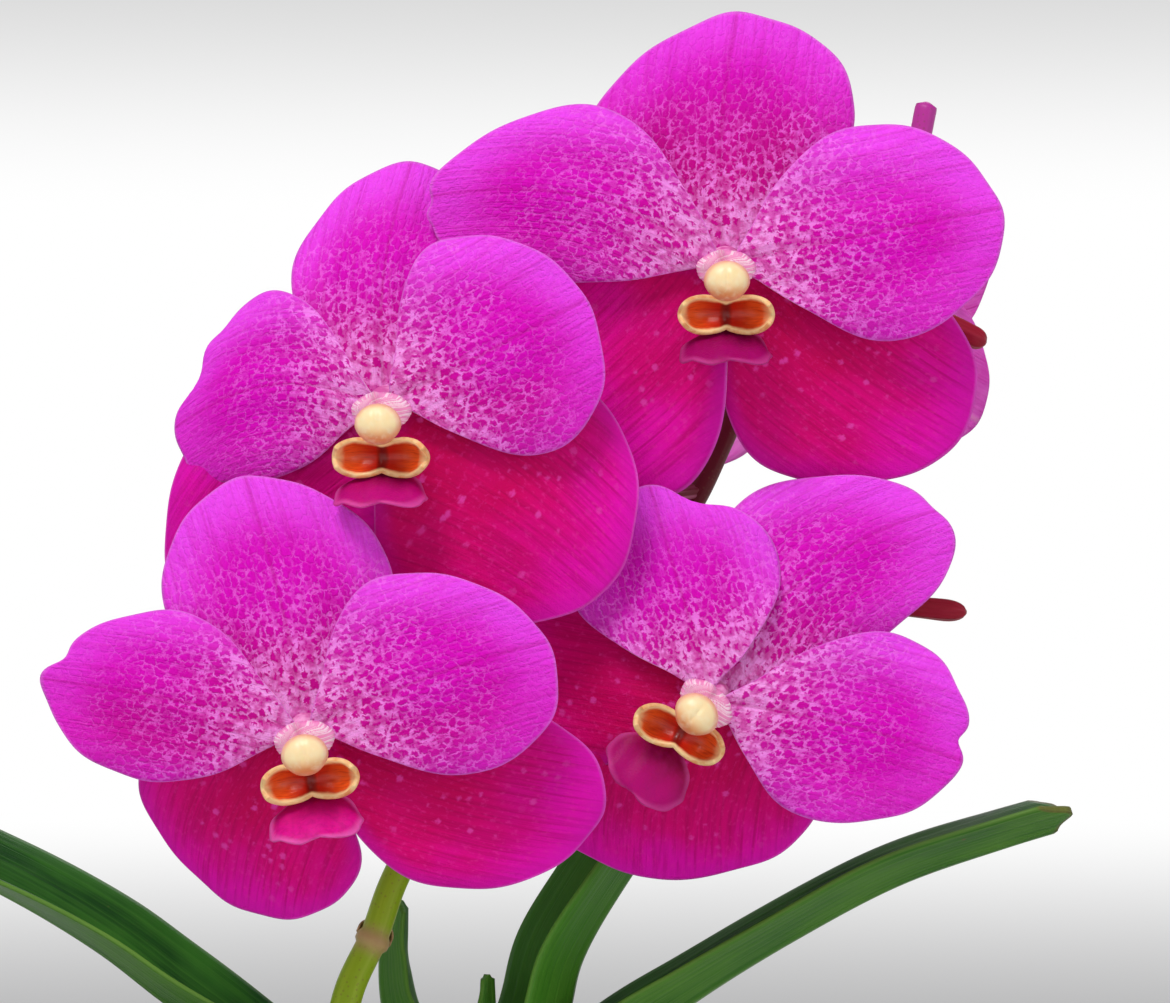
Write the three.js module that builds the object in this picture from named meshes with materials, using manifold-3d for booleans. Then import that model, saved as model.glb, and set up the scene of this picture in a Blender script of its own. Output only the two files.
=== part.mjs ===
// Potted vanda orchid: a clay pot of bark, one upright leafy stem, aerial roots and a spike of blooms.
// Millimetres, +Z up. The origin is the centre of the pot's underside; the photograph looks along +Y.
import * as THREE from "three";
import { mergeVertices } from "three/addons/utils/BufferGeometryUtils.js";
import Module from "manifold-3d";

const wasm = await Module();
wasm.setup();

// Clearance between two pieces that touch in the real plant.
const GAP = 0.3;

// Clay pot: heights and radii of its wall, rim band and drain holes.
const POT_HEIGHT = 120;
const POT_FOOT_R = 47;
const POT_SHOULDER_R = 61;
const POT_RIM_R = 70;
const POT_RIM_DEEP = 28;
const POT_WALL = 6;
const POT_FLOOR = 8;
const POT_SIDES = 32;
const DRAIN_R = 5;
const DRAIN_PITCH_R = 26;

// Bark bed and the loose chips on top of it.
const BARK_TOP = 104;
const CHIP_COUNT = 36;
const CHIP_LONG = 19;
const CHIP_WIDE = 11;
const CHIP_THICK = 6;

// Upright stem: slim among the leaves, thicker below them where dry sheaths wrap it.
const STEM_R = 4.7;
const STEM_FOOT = 60;
const STEM_TOP = 284;
const SHEATH_R = 6.6;
const SHEATH_TOP = 158;
const SHEATH_PITCH = 14;

// Strap leaf: half width, blade thickness, spread of the two wings in degrees from the mid plane.
const LEAF_HALF = 15;
const LEAF_THICK = 1.5;
const LEAF_ROWS = 10;
const LEAF_OPEN_BASE = 36;
const LEAF_OPEN_TIP = 62;
// Share of the length bitten off the tip at each of the five lines along the blade.
const LEAF_TIP_CUT = [0.035, 0, 0.03, 0.012, 0.045];

// Tepals: blade thickness, where a blade starts from the middle, its backward crown and arch.
const TEPAL_THICK = 0.9;
const TEPAL_START = 1.5;
const TEPAL_CROWN = 2;
const TEPAL_ARCH = 3;
const TEPAL_ACROSS = 4;
const TEPAL_ALONG = 6;
// Outline of a blade: width at its base as a share of the widest, and where full width is reached.
const PETAL_SHAPE = { claw: 0.25, full: 0.6 };
const SEPAL_SHAPE = { claw: 0.45, full: 0.6 };
const LOBE_SHAPE = { claw: 0.75, full: 0.6 };

// Middle of a bloom: hub behind the tepals, column, anther cap, two side lobes and the mid-lobe.
const HUB_R = 4.6;
const HUB_BACK = 4.4;
const HUB_FRONT = 1.6;
const COLUMN_HALF_WIDE = 6.8;
const COLUMN_HALF_TALL = 4.2;
const COLUMN_FOOT = 3.1;
const COLUMN_LONG = 4;
const CAP_HALF = [4.5, 4, 3.2];
const SIDE_LOBE_WIDE = 9.3;
const SIDE_LOBE_TALL = 3.7;
const SIDE_LOBE_CURL = 3.4;
const SIDE_LOBE_THICK = 1.1;
const LIP_DROP = 10.2;
const MID_LOBE = { turn: 180, long: 14, wide: 18, start: 0, crown: 2.6, arch: 1.5 };

const COLOURS = {
  clay: [0xb4653f, 0.85],
  bark: [0x5b3a24, 0.95],
  stem: [0x6f8a3c, 0.6],
  leaf: [0x4c7a2f, 0.5],
  root: [0xb9c3a8, 0.8],
  spike: [0x7e942d, 0.55],
  petal: [0xd317b0, 0.55],
  column: [0xec88bc, 0.5],
  cap: [0xfad7a0, 0.45],
  throat: [0xd9622a, 0.5],
  lobe: [0x9c0e62, 0.5],
  pedicel: [0x7e0c29, 0.5],
};

const plant = new THREE.Group();
plant.name = "potted_vanda_orchid";
const paints = {};
for (const [name, [color, roughness]] of Object.entries(COLOURS)) {
  paints[name] = new THREE.MeshStandardMaterial({ color, roughness, metalness: 0 });
}

const rad = THREE.MathUtils.degToRad;
const vec = (a) => new THREE.Vector3(...a);
const step = (x) => THREE.MathUtils.smoothstep(x, 0, 1);

// One closed body from a geometry, or from a list of points and a list of triangles.
function solid(geometry) {
  geometry.deleteAttribute("normal");
  geometry.deleteAttribute("uv");
  const merged = mergeVertices(geometry, 1e-4);
  const corners = merged.index.array;
  const kept = [];
  for (let i = 0; i < corners.length; i += 3) {
    const [a, b, c] = [corners[i], corners[i + 1], corners[i + 2]];
    if (a !== b && b !== c && c !== a) kept.push(a, b, c);
  }
  const points = merged.attributes.position;
  const at = (i) => new THREE.Vector3().fromBufferAttribute(points, i);
  let volume = 0;
  for (let i = 0; i < kept.length; i += 3) {
    volume += at(kept[i]).dot(at(kept[i + 1]).cross(at(kept[i + 2])));
  }
  if (volume < 0) kept.reverse();
  return new wasm.Manifold(
    new wasm.Mesh({ numProp: 3, vertProperties: points.array, triVerts: new Uint32Array(kept) }),
  );
}

function geometryOf(points, triangles) {
  const g = new THREE.BufferGeometry();
  const flat = points.flatMap((p) => [p.x, p.y, p.z]);
  g.setAttribute("position", new THREE.Float32BufferAttribute(flat, 3));
  g.setIndex(triangles);
  return g;
}

function place(name, body, paint) {
  const made = body.getMesh();
  const g = new THREE.BufferGeometry();
  g.setAttribute("position", new THREE.BufferAttribute(Float32Array.from(made.vertProperties), 3));
  g.setIndex(new THREE.BufferAttribute(Uint32Array.from(made.triVerts), 1));
  g.computeVertexNormals();
  const mesh = new THREE.Mesh(g, paints[paint]);
  mesh.name = name;
  plant.add(mesh);
}

// A thin blade: a grid of points thickened both ways, both faces split along the same diagonals.
function blade(rows, lifts) {
  const tall = rows.length;
  const wide = rows[0].length;
  const top = rows.flatMap((row, i) => row.map((p, j) => p.clone().add(lifts[i][j])));
  const under = rows.flatMap((row, i) => row.map((p, j) => p.clone().sub(lifts[i][j])));
  const triangles = [];
  const n = tall * wide;
  for (let i = 0; i + 1 < tall; i++) {
    for (let j = 0; j + 1 < wide; j++) {
      const a = i * wide + j;
      const [b, c, d] = [a + 1, a + wide + 1, a + wide];
      triangles.push(a, b, c, a, c, d);
      triangles.push(n + a, n + c, n + b, n + a, n + d, n + c);
    }
  }
  const rim = [];
  for (let j = 0; j + 1 < wide; j++) rim.push(j);
  for (let i = 0; i + 1 < tall; i++) rim.push(i * wide + wide - 1);
  for (let j = wide - 1; j > 0; j--) rim.push((tall - 1) * wide + j);
  for (let i = tall - 1; i > 0; i--) rim.push(i * wide);
  rim.forEach((a, k) => {
    const b = rim[(k + 1) % rim.length];
    triangles.push(b, a, n + a, b, n + a, n + b);
  });
  return solid(geometryOf([...top, ...under], triangles));
}

// A round stalk along a smooth path, with a radius at each path point and flat ends.
function stalk(path, radii, sides, steps) {
  const curve = new THREE.CatmullRomCurve3(path.map(vec), false, "centripetal");
  const frames = curve.computeFrenetFrames(steps);
  const points = [];
  const triangles = [];
  for (let i = 0; i <= steps; i++) {
    const along = (i / steps) * (radii.length - 1);
    const k = Math.min(Math.floor(along), radii.length - 2);
    const r = THREE.MathUtils.lerp(radii[k], radii[k + 1], along - k);
    const centre = curve.getPointAt(i / steps);
    for (let j = 0; j < sides; j++) {
      const turn = (2 * Math.PI * j) / sides;
      const out = frames.normals[i].clone().multiplyScalar(Math.cos(turn) * r);
      out.addScaledVector(frames.binormals[i], Math.sin(turn) * r);
      points.push(centre.clone().add(out));
    }
  }
  for (let i = 0; i < steps; i++) {
    for (let j = 0; j < sides; j++) {
      const a = i * sides + j;
      const b = i * sides + ((j + 1) % sides);
      triangles.push(a, b, b + sides, a, b + sides, a + sides);
    }
  }
  const last = steps * sides;
  for (let j = 1; j + 1 < sides; j++) {
    triangles.push(0, j + 1, j, last, last + j, last + j + 1);
  }
  return solid(geometryOf(points, triangles));
}

function ellipsoid(centre, axes, halves, wide, tall) {
  const g = new THREE.SphereGeometry(1, wide, tall);
  const m = new THREE.Matrix4().makeBasis(...axes.map((a, i) => a.clone().multiplyScalar(halves[i])));
  return solid(g.applyMatrix4(m.setPosition(centre)));
}

function lathe(profile, sides) {
  const g = new THREE.LatheGeometry(profile.map((p) => new THREE.Vector2(...p)), sides);
  return solid(g.rotateX(Math.PI / 2));
}

function joined(bodies) {
  return bodies.reduce((sum, body) => sum.add(body));
}

// Clay pot with its rim band, hollow for the bark, and four drain holes round a solid middle.
const rimFoot = POT_HEIGHT - POT_RIM_DEEP;
const potShell = lathe(
  [
    [0, 0],
    [POT_FOOT_R - 2, 0],
    [POT_FOOT_R, 2],
    [POT_SHOULDER_R, rimFoot],
    [POT_RIM_R - 2, rimFoot],
    [POT_RIM_R - 1, rimFoot + 2],
    [POT_RIM_R, POT_HEIGHT - 3],
    [POT_RIM_R - 2, POT_HEIGHT],
    [POT_RIM_R - POT_WALL, POT_HEIGHT],
    [POT_RIM_R - POT_WALL - 2, rimFoot + 6],
    [POT_SHOULDER_R - POT_WALL, rimFoot],
    [POT_FOOT_R - POT_WALL, POT_FLOOR],
    [0, POT_FLOOR],
    [0, 0],
  ],
  POT_SIDES,
);
const drains = [45, 135, 225, 315].map((turn) => {
  const g = new THREE.CylinderGeometry(DRAIN_R, DRAIN_R, 3 * POT_FLOOR, 16).rotateX(Math.PI / 2);
  const [x, y] = [Math.cos(rad(turn)), Math.sin(rad(turn))];
  return solid(g.translate(DRAIN_PITCH_R * x, DRAIN_PITCH_R * y, 0));
});
place("pot", potShell.subtract(joined(drains)), "clay");

// Aerial roots: the turn about the stem in degrees, then distance out and height along each root.
const ROOTS = [
  { turn: -62, path: [[7.3, 150], [13, 149], [24, 138], [31, 122], [34, 106], [35, 92]], r: 2.6 },
  { turn: 28, path: [[7.3, 142], [14, 140], [23, 128], [28, 112], [29, 94]], r: 2.4 },
  { turn: 100, path: [[7.3, 152], [15, 152], [33, 143], [46, 128], [52, 110], [52, 94]], r: 2.7 },
  { turn: 172, path: [[7.3, 128], [12, 126], [18, 116], [20, 104], [20, 90]], r: 2.3 },
  {
    turn: 236,
    path: [[7.3, 146], [18, 148], [45, 142], [68, 131], [79, 112], [81, 88], [78, 62], [80, 38]],
    r: 2.6,
  },
];
function rootBody(root, extra) {
  const turn = rad(root.turn);
  const path = root.path.map(([out, z], i) => {
    const drift = turn + 0.05 * Math.sin(2.3 * i + root.turn);
    return [out * Math.cos(drift), out * Math.sin(drift), z];
  });
  return stalk(path, [root.r + extra, root.r + extra, root.r - 0.4 + extra], 7, 9);
}
ROOTS.forEach((root, i) => place("root_" + (i + 1), rootBody(root, 0), "root"));

// Stem: a slim core above, and below the leaves a row of flared dry sheaths.
const stemProfile = [[0, STEM_FOOT], [SHEATH_R - 1, STEM_FOOT]];
for (let z = STEM_FOOT + SHEATH_PITCH; z <= SHEATH_TOP; z += SHEATH_PITCH) {
  stemProfile.push([SHEATH_R, z], [SHEATH_R - 1, z + 1]);
}
stemProfile.push([STEM_R, SHEATH_TOP + 3], [STEM_R, STEM_TOP - 6]);
stemProfile.push([STEM_R - 1.5, STEM_TOP - 1], [0, STEM_TOP]);
place("stem", lathe(stemProfile, 12), "stem");

// Bark bed that fills the pot, with chips lying on it at seeded places, and holes for stem and roots.
let seed = 4127;
function chance(low, high) {
  seed = (seed * 16807) % 2147483647;
  return low + (high - low) * (seed / 2147483647);
}
const bed = lathe(
  [
    [0, POT_FLOOR + GAP],
    [POT_FOOT_R - POT_WALL - GAP, POT_FLOOR + GAP],
    [POT_SHOULDER_R - POT_WALL - GAP, rimFoot],
    [POT_RIM_R - POT_WALL - 2 - 2 * GAP, rimFoot + 6],
    [POT_RIM_R - POT_WALL - 2 - GAP, BARK_TOP - 2],
    [POT_RIM_R - POT_WALL - 6, BARK_TOP],
    [0, BARK_TOP + 1],
  ],
  POT_SIDES,
);
const chips = [];
for (let i = 0; i < CHIP_COUNT; i++) {
  const size = chance(0.6, 1);
  const wide = CHIP_WIDE * chance(0.6, 1);
  const thick = CHIP_THICK * chance(0.6, 1);
  const g = new THREE.BoxGeometry(CHIP_LONG * size, wide, thick);
  const corners = g.attributes.position;
  const shift = Array.from({ length: 8 }, () => [chance(-1.8, 1.8), chance(-1.5, 1.5), chance(-1, 1)]);
  for (let k = 0; k < corners.count; k++) {
    const p = new THREE.Vector3().fromBufferAttribute(corners, k);
    const [a, b, c] = shift[(p.x > 0 ? 1 : 0) + (p.y > 0 ? 2 : 0) + (p.z > 0 ? 4 : 0)];
    corners.setXYZ(k, p.x + a, p.y + b, p.z + c);
  }
  const out = 9 + 40 * Math.sqrt((i + 0.5) / CHIP_COUNT);
  const turn = i * 2.39996;
  g.rotateX(chance(-0.35, 0.35)).rotateY(chance(-0.35, 0.35)).rotateZ(chance(0, 6.28));
  g.translate(out * Math.cos(turn), out * Math.sin(turn), BARK_TOP + chance(0.2, 2.4));
  chips.push(solid(g));
}
const stemHole = solid(
  new THREE.CylinderGeometry(SHEATH_R + GAP, SHEATH_R + GAP, 100, 16)
    .rotateX(Math.PI / 2)
    .translate(0, 0, STEM_FOOT - GAP + 50),
);
const rootHoles = ROOTS.map((root) => rootBody(root, GAP));
const filled = joined([bed, ...chips]).subtract(joined([stemHole, ...rootHoles]));
// Chips that touch can shut in a pocket of air; the bed is the one outer body.
place("bark_bed", filled.decompose().sort((a, b) => b.volume() - a.volume())[0], "bark");

// Flower spike: one stalk from the stem through the leaf bases, up to its tip, with joint rings.
const SPIKE_PATH = [
  [0.5, -5.9 - 2.7, 206],
  [-5, -14, 217],
  [-16, -19, 240],
  [-24.5, -20, 276],
  [-21.4, -17, 314.5],
  [-15.8, -14, 327.6],
  [-11.7, -12, 339],
  [3.3, -10, 365.7],
  [25.6, -8, 392],
  [45.9, -6, 411.2],
  [54.5, -4, 427.5],
  [64.4, -2, 452.1],
  [80.9, 0, 476.7],
  [93.5, 2, 485.5],
  [97, 3, 497],
];
const SPIKE_RADII = [2.7, 3.2, 3.3, 3.3, 3.2, 3, 2.8, 2.8, 2.7, 2.6, 2.5, 2.4, 2.3, 2.2, 2.3];
const SPIKE_RINGS = [0.15, 0.38];
const SPIKE_SIDES = 9;
const SPIKE_STEPS = 34;
const spikeCurve = new THREE.CatmullRomCurve3(SPIKE_PATH.map(vec), false, "centripetal");
const rings = SPIKE_RINGS.map((u) => {
  const ends = [u - 0.011, u, u + 0.011].map((t) => spikeCurve.getPointAt(t).toArray());
  return stalk(ends, [3.1, 3.8, 3.1], 9, 2);
});
// Two bare stalks whose blooms have dropped.
const BARE_STALKS = [
  [[73, -1, 465], [86, -5, 458], [99.5, -8, 451.6], [108, -8, 447]],
  [[43, -6, 409], [62, -8, 398], [86, -9, 394.5], [104, -9, 392.5]],
];
const bare = BARE_STALKS.map((path) => stalk(path, [1.7, 1.9, 2.4], 7, 6));
const spike = joined([stalk(SPIKE_PATH, SPIKE_RADII, SPIKE_SIDES, SPIKE_STEPS), ...rings, ...bare]);
place("spike", spike, "spike");
const spikeRoom = stalk(SPIKE_PATH, SPIKE_RADII.map((r) => r + GAP), SPIKE_SIDES, SPIKE_STEPS);

// Leaves: side of the stem, then keel points as distance out and height; drift is sideways in depth,
// roll tips the channel towards the viewer.
const LEAVES = [
  {
    name: "leaf_spear",
    side: 1,
    half: 7,
    open: 0.3,
    drift: -2,
    path: [[4.4, 288], [6, 297], [7.5, 306], [7.2, 318.5]],
  },
  {
    name: "leaf_young_left",
    side: -1,
    half: 12.5,
    open: 0.4,
    drift: 4,
    path: [[7.5, 287], [11.5, 300], [14.6, 312], [14.8, 323], [12.5, 333.5]],
  },
  {
    name: "leaf_upper_right",
    side: 1,
    half: 17,
    open: 0.4,
    drift: 15,
    roll: 24,
    path: [[10.1, 276], [14, 292], [22, 308], [25.4, 321], [34.6, 337], [48, 355], [60, 371], [70, 383]],
  },
  {
    name: "leaf_arch_left",
    side: -1,
    roll: 14,
    path: [[10.1, 262], [14, 274], [25, 287], [40, 299], [60, 313.5], [73, 323.5], [93, 335.5],
      [125, 350], [160, 357], [195, 355], [224, 345]],
  },
  {
    name: "leaf_arch_right",
    side: 1,
    open: 0.65,
    drift: -4,
    path: [[10.1, 248], [11.5, 262], [17, 280], [30, 299], [50, 314], [71, 327], [91, 337.5], [112, 345],
      [126.5, 349.5]],
  },
  {
    name: "leaf_mid_left",
    side: -1,
    drift: 14,
    roll: 6,
    path: [[10.1, 234], [10.5, 246], [13, 257], [24, 271], [45, 282], [75, 292], [130, 303], [170, 298],
      [205, 280], [230, 257]],
  },
  {
    name: "leaf_mid_right",
    side: 1,
    drift: 12,
    path: [[10.1, 220], [10.5, 232], [13, 243], [24, 257], [48, 269], [80, 279], [120, 286], [160, 284],
      [195, 270], [222, 248]],
  },
  {
    name: "leaf_low_left",
    side: -1,
    drift: -12,
    path: [[10.1, 206], [10.5, 218], [13, 229], [26, 242], [52, 252], [88, 259], [126, 258], [162, 247],
      [192, 226], [212, 200]],
  },
  {
    name: "leaf_low_right",
    side: 1,
    drift: -14,
    path: [[10.1, 192], [10.5, 204], [13, 215], [26, 228], [54, 238], [92, 245], [132, 243], [168, 228],
      [196, 204], [214, 176]],
  },
  {
    name: "leaf_bottom_left",
    side: -1,
    drift: 8,
    path: [[10.1, 178], [10.5, 190], [13, 200], [30, 212], [60, 219], [98, 220], [136, 209], [168, 188],
      [190, 160], [203, 130]],
  },
  {
    name: "leaf_bottom_right",
    side: 1,
    drift: 10,
    path: [[10.1, 164], [10.5, 176], [13.5, 186], [32, 197], [64, 202], [102, 201], [138, 189], [166, 166],
      [186, 138]],
  },
];
function leafBody(leaf) {
  const reach = leaf.path.at(-1)[0];
  const keel = new THREE.CatmullRomCurve3(
    leaf.path.map(([out, z]) => {
      return new THREE.Vector3(leaf.side * out, (leaf.drift ?? 0) * (out / reach) ** 2, z);
    }),
    false,
    "centripetal",
  );
  const half = leaf.half ?? LEAF_HALF;
  const rows = [];
  const lifts = [];
  for (let i = 0; i <= LEAF_ROWS; i++) {
    const row = [];
    const lift = [];
    for (let j = 0; j < 5; j++) {
      const v = (j - 2) / 2;
      const s = (i / LEAF_ROWS) * (1 - LEAF_TIP_CUT[j]);
      const along = keel.getTangentAt(s);
      const roll = rad(leaf.roll ?? 0) * step((s - 0.06) / 0.25);
      const flat = new THREE.Vector3(0, 1, 0).addScaledVector(along, -along.y).normalize();
      const up = along.clone().cross(flat).multiplyScalar(leaf.side);
      flat.applyAxisAngle(along, leaf.side * roll);
      up.applyAxisAngle(along, leaf.side * roll);
      const opened = step((s - 0.08) / 0.55) * (leaf.open ?? 1);
      const spread = THREE.MathUtils.lerp(LEAF_OPEN_BASE, LEAF_OPEN_TIP, opened);
      const open = rad(spread * (1 + 0.12 * Math.abs(v)));
      const narrowed = (1 - 0.22 * s ** 4) * (half < LEAF_HALF ? 1 - 0.6 * s * s : 1);
      const width = half * (0.76 + 0.24 * step(s / 0.3)) * narrowed;
      const out = flat.clone().multiplyScalar(Math.sin(open) * Math.sign(v));
      out.addScaledVector(up, Math.cos(open)).multiplyScalar(width * Math.abs(v));
      row.push(keel.getPointAt(s).add(out));
      const skin = flat.clone().multiplyScalar(Math.cos(open) * Math.sign(v));
      skin.addScaledVector(up, v ? -Math.sin(open) : -1.3);
      lift.push(skin.multiplyScalar(LEAF_THICK / 2));
    }
    rows.push(row);
    lifts.push(lift);
  }
  return blade(rows, lifts);
}
for (const leaf of LEAVES) {
  place(leaf.name, leafBody(leaf).subtract(spikeRoom), "leaf");
}

// Blooms. Turns are clockwise from the top of the face; lean tips a blade towards the viewer;
// off is its depth in front of the hub; bend and skew curve it to its right; inner widens its base
// there; claw and full change its outline.
const BLOOMS = [
  {
    name: "top",
    centre: [54.1, -40, 461.6],
    tepals: {
      dorsal: { turn: -4, long: 49, wide: 53, bend: 6, skew: -0.5, lean: -4, off: -1 },
      petal_left: { turn: -71.5, long: 59.5, wide: 36, bend: -6, skew: 5, lean: 4, off: 1.5 },
      petal_right: { turn: 76, long: 54.5, wide: 43, bend: 2.5, skew: 0.5, lean: 4, off: 1.5 },
      lateral_left: { turn: -126, long: 49.5, wide: 48, bend: -6, skew: -3.4, lean: -2, off: -1.6, claw: 0.2,
        full: 0.85 },
      lateral_right: { turn: 134, long: 57.5, wide: 47.5, bend: -6, skew: 1, lean: -4, off: -3 },
    },
    lip: { lean: 64 },
    pedicel: [[59.5, -3.5, 440], [59, -14, 449], [56, -26, 457]],
  },
  {
    name: "left",
    centre: [-12, -54, 433.6],
    tepals: {
      dorsal: { turn: 0.5, long: 51.5, wide: 36, bend: 4, skew: -2, lean: -18, off: -1 },
      petal_left: { turn: -89, long: 43, wide: 36.5, bend: -5, skew: 4.6, lean: -12, off: 1.5, arch: 6 },
      petal_right: { turn: 59, long: 43.5, wide: 46.5, bend: 2.5, skew: 0.8, lean: 6, off: 1.5 },
      lateral_left: { turn: -130, long: 58, wide: 38, bend: -6, skew: 3, lean: -10, off: -3 },
      lateral_right: { turn: 124, long: 55.5, wide: 46, bend: 2, skew: -2.5, lean: 0, off: -1.6, inner: 20 },
    },
    lip: { lean: 66, yaw: -5 },
    pedicel: [[50, -5.5, 417], [34, -18, 416], [8, -36, 422], [-7, -46, 430]],
  },
  {
    name: "low",
    centre: [-26.8, -64, 371],
    tepals: {
      dorsal: { turn: -10, long: 50, wide: 44, bend: -3.5, skew: 0.3, lean: -5, off: -1 },
      petal_left: { turn: -78, long: 50, wide: 33, bend: -0.5, skew: 1, lean: 0, off: 1.5 },
      petal_right: { turn: 60, long: 48.5, wide: 42.5, bend: 8, skew: 0.5, lean: 5, off: 1.5 },
      lateral_left: { turn: -153, long: 40.3, wide: 47, bend: -1.5, skew: 2.8, lean: -10, off: -1.6,
        arch: 12 },
      lateral_right: { turn: 111, long: 59, wide: 39, bend: -4.5, skew: 1.5, lean: -4, off: -3 },
    },
    lip: { lean: 57, roll: -8, drop: 9.2 },
    pedicel: [[-5, -11, 353], [-10, -24, 358], [-20, -44, 366]],
  },
  {
    name: "right",
    centre: [51.3, -46, 376.9],
    roll: 45,
    tepals: {
      dorsal: { turn: 0, long: 59, wide: 38.5, bend: 6, skew: -5, lean: -5, off: -1 },
      petal_left: { turn: -56, long: 42.5, wide: 41, bend: -4, skew: -1, lean: -6, off: 1.5, arch: 6 },
      petal_right: { turn: 70, long: 49, wide: 40, bend: -9.5, skew: -3.8, lean: 2, off: 1.5 },
      lateral_left: { turn: -125, long: 48, wide: 38, lean: -10, off: -1.6 },
      lateral_right: { turn: 137, long: 39.7, wide: 56, bend: 6, skew: 4, lean: -10, off: -3, arch: 12 },
    },
    lip: { lean: 24, roll: -4, yaw: -4, drop: 9.2 },
    pedicel: [[23, -8, 389], [32, -16, 387], [44, -32, 381]],
  },
  {
    name: "back_top",
    centre: [69, 45, 458.2],
    yaw: 176,
    grid: 4,
    tepals: {
      dorsal: { turn: 4, long: 46, wide: 36, lean: -6, off: -1 },
      petal_left: { turn: -74, long: 46, wide: 38, lean: -4, off: 1.5 },
      petal_right: { turn: 70, long: 47, wide: 37, lean: -4, off: 1.5 },
      lateral_left: { turn: -122, long: 49, wide: 40, lean: -4, off: -1.6 },
      lateral_right: { turn: 130, long: 49, wide: 40, lean: -6, off: -3 },
    },
    lip: { lean: 40 },
    pedicel: [[67, -1, 456], [68, 12, 460], [70, 28, 461]],
  },
  {
    name: "back_left",
    centre: [1.9, 45, 424],
    yaw: -168,
    grid: 4,
    roll: -6,
    tepals: {
      dorsal: { turn: -3, long: 45, wide: 37, lean: -5, off: -1 },
      petal_left: { turn: -70, long: 46, wide: 37, lean: -6, off: 1.5 },
      petal_right: { turn: 72, long: 45, wide: 38, lean: -3, off: 1.5 },
      lateral_left: { turn: -128, long: 48, wide: 40, lean: -5, off: -1.6 },
      lateral_right: { turn: 124, long: 48, wide: 40, lean: -5, off: -3 },
    },
    lip: { lean: 40 },
    pedicel: [[12, -9, 376.5], [10, 8, 384], [5, 24, 402], [2, 35, 418]],
  },
];

// The axes of a bloom's face: forward out of it, up and right, after yaw and roll in degrees.
function faceOf(yaw, roll) {
  const forward = new THREE.Vector3(Math.sin(rad(yaw)), -Math.cos(rad(yaw)), 0);
  const level = new THREE.Vector3(Math.cos(rad(yaw)), Math.sin(rad(yaw)), 0);
  const up = new THREE.Vector3(0, 0, 1).applyAxisAngle(forward, rad(-roll));
  return { forward, up, right: level.applyAxisAngle(forward, rad(-roll)) };
}

function offsetIn(face, right, up, forward) {
  const p = face.right.clone().multiplyScalar(right);
  return p.addScaledVector(face.up, up).addScaledVector(face.forward, forward);
}

// Half width along a tepal, 1 at the widest: a rounded end, narrowed to a claw at the base.
function halfWidth(s, shape) {
  const round = Math.sqrt(Math.max(1 - (2 * s - 1) ** 2, 0));
  const rise = Math.min(s / shape.full, 1);
  return round * (shape.claw + (1 - shape.claw) * rise * (2 - rise));
}

function tepalBody(centre, face, t, shape, grid) {
  const turn = rad(t.turn);
  const lean = rad(t.lean);
  const along = offsetIn(face, Math.sin(turn), Math.cos(turn), 0);
  const across = offsetIn(face, Math.cos(turn), -Math.sin(turn), 0);
  const skin = face.forward.clone().multiplyScalar(Math.cos(lean)).addScaledVector(along, -Math.sin(lean));
  const fullest = Math.max(...Array.from({ length: 101 }, (_, i) => halfWidth(i / 100, shape)));
  const start = t.start ?? TEPAL_START;
  const rows = [];
  for (let i = 0; i <= TEPAL_ACROSS; i++) {
    const row = [];
    for (let j = 0; j <= grid; j++) {
      const p = (2 * i) / TEPAL_ACROSS - 1;
      const q = (2 * j) / grid - 1;
      const x = p * Math.sqrt(1 - (q * q) / 2);
      const y = q * Math.sqrt(1 - (p * p) / 2);
      const v = x / Math.sqrt(Math.max(1 - y * y, 1e-9));
      const s = (1 + y) / 2;
      const w = (v * halfWidth(s, shape)) / fullest;
      const half = t.wide / 2 + (w > 0 ? (t.inner ?? 0) * (1 - s) : 0);
      const side = w * half + (t.bend ?? 0) * s * s + (t.skew ?? 0) * Math.sin(Math.PI * s);
      const reach = start + (t.long - start) * s;
      const back = (t.crown ?? TEPAL_CROWN) * w * w + (t.arch ?? TEPAL_ARCH) * s * s;
      const wave = (t.wave ?? 0.8) * w * w * Math.sin(3 * Math.PI * s + turn) * Math.sign(v);
      const point = centre.clone().addScaledVector(along, reach * Math.cos(lean));
      point.addScaledVector(face.forward, reach * Math.sin(lean) + (t.off ?? 0));
      point.addScaledVector(across, side).addScaledVector(skin, wave - back);
      row.push(point);
    }
    rows.push(row);
  }
  const lift = skin.multiplyScalar(TEPAL_THICK / 2);
  return blade(rows, rows.map((row) => row.map(() => lift)));
}

// Both side lobes of the lip as one sheet: two rounded scoops whose outer rims curl to the viewer.
function scoopsBody(face, centre) {
  const rows = [];
  for (let i = 0; i <= 8; i++) {
    const row = [];
    for (let j = 0; j <= 4; j++) {
      const out = i / 4 - 1;
      const rise = j / 2 - 1;
      const tall = SIDE_LOBE_TALL * Math.sqrt(1 - 0.8 * (2 * Math.abs(out) - 1) ** 2);
      const curl = Math.max(0, Math.abs(out) - 0.35) / 0.65;
      const fore = SIDE_LOBE_CURL * (curl * curl + 0.75 * rise * rise);
      row.push(centre.clone().add(offsetIn(face, SIDE_LOBE_WIDE * out, tall * rise, fore)));
    }
    rows.push(row);
  }
  const half = face.forward.clone().multiplyScalar(SIDE_LOBE_THICK / 2);
  return blade(rows, rows.map((row) => row.map(() => half)));
}

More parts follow.
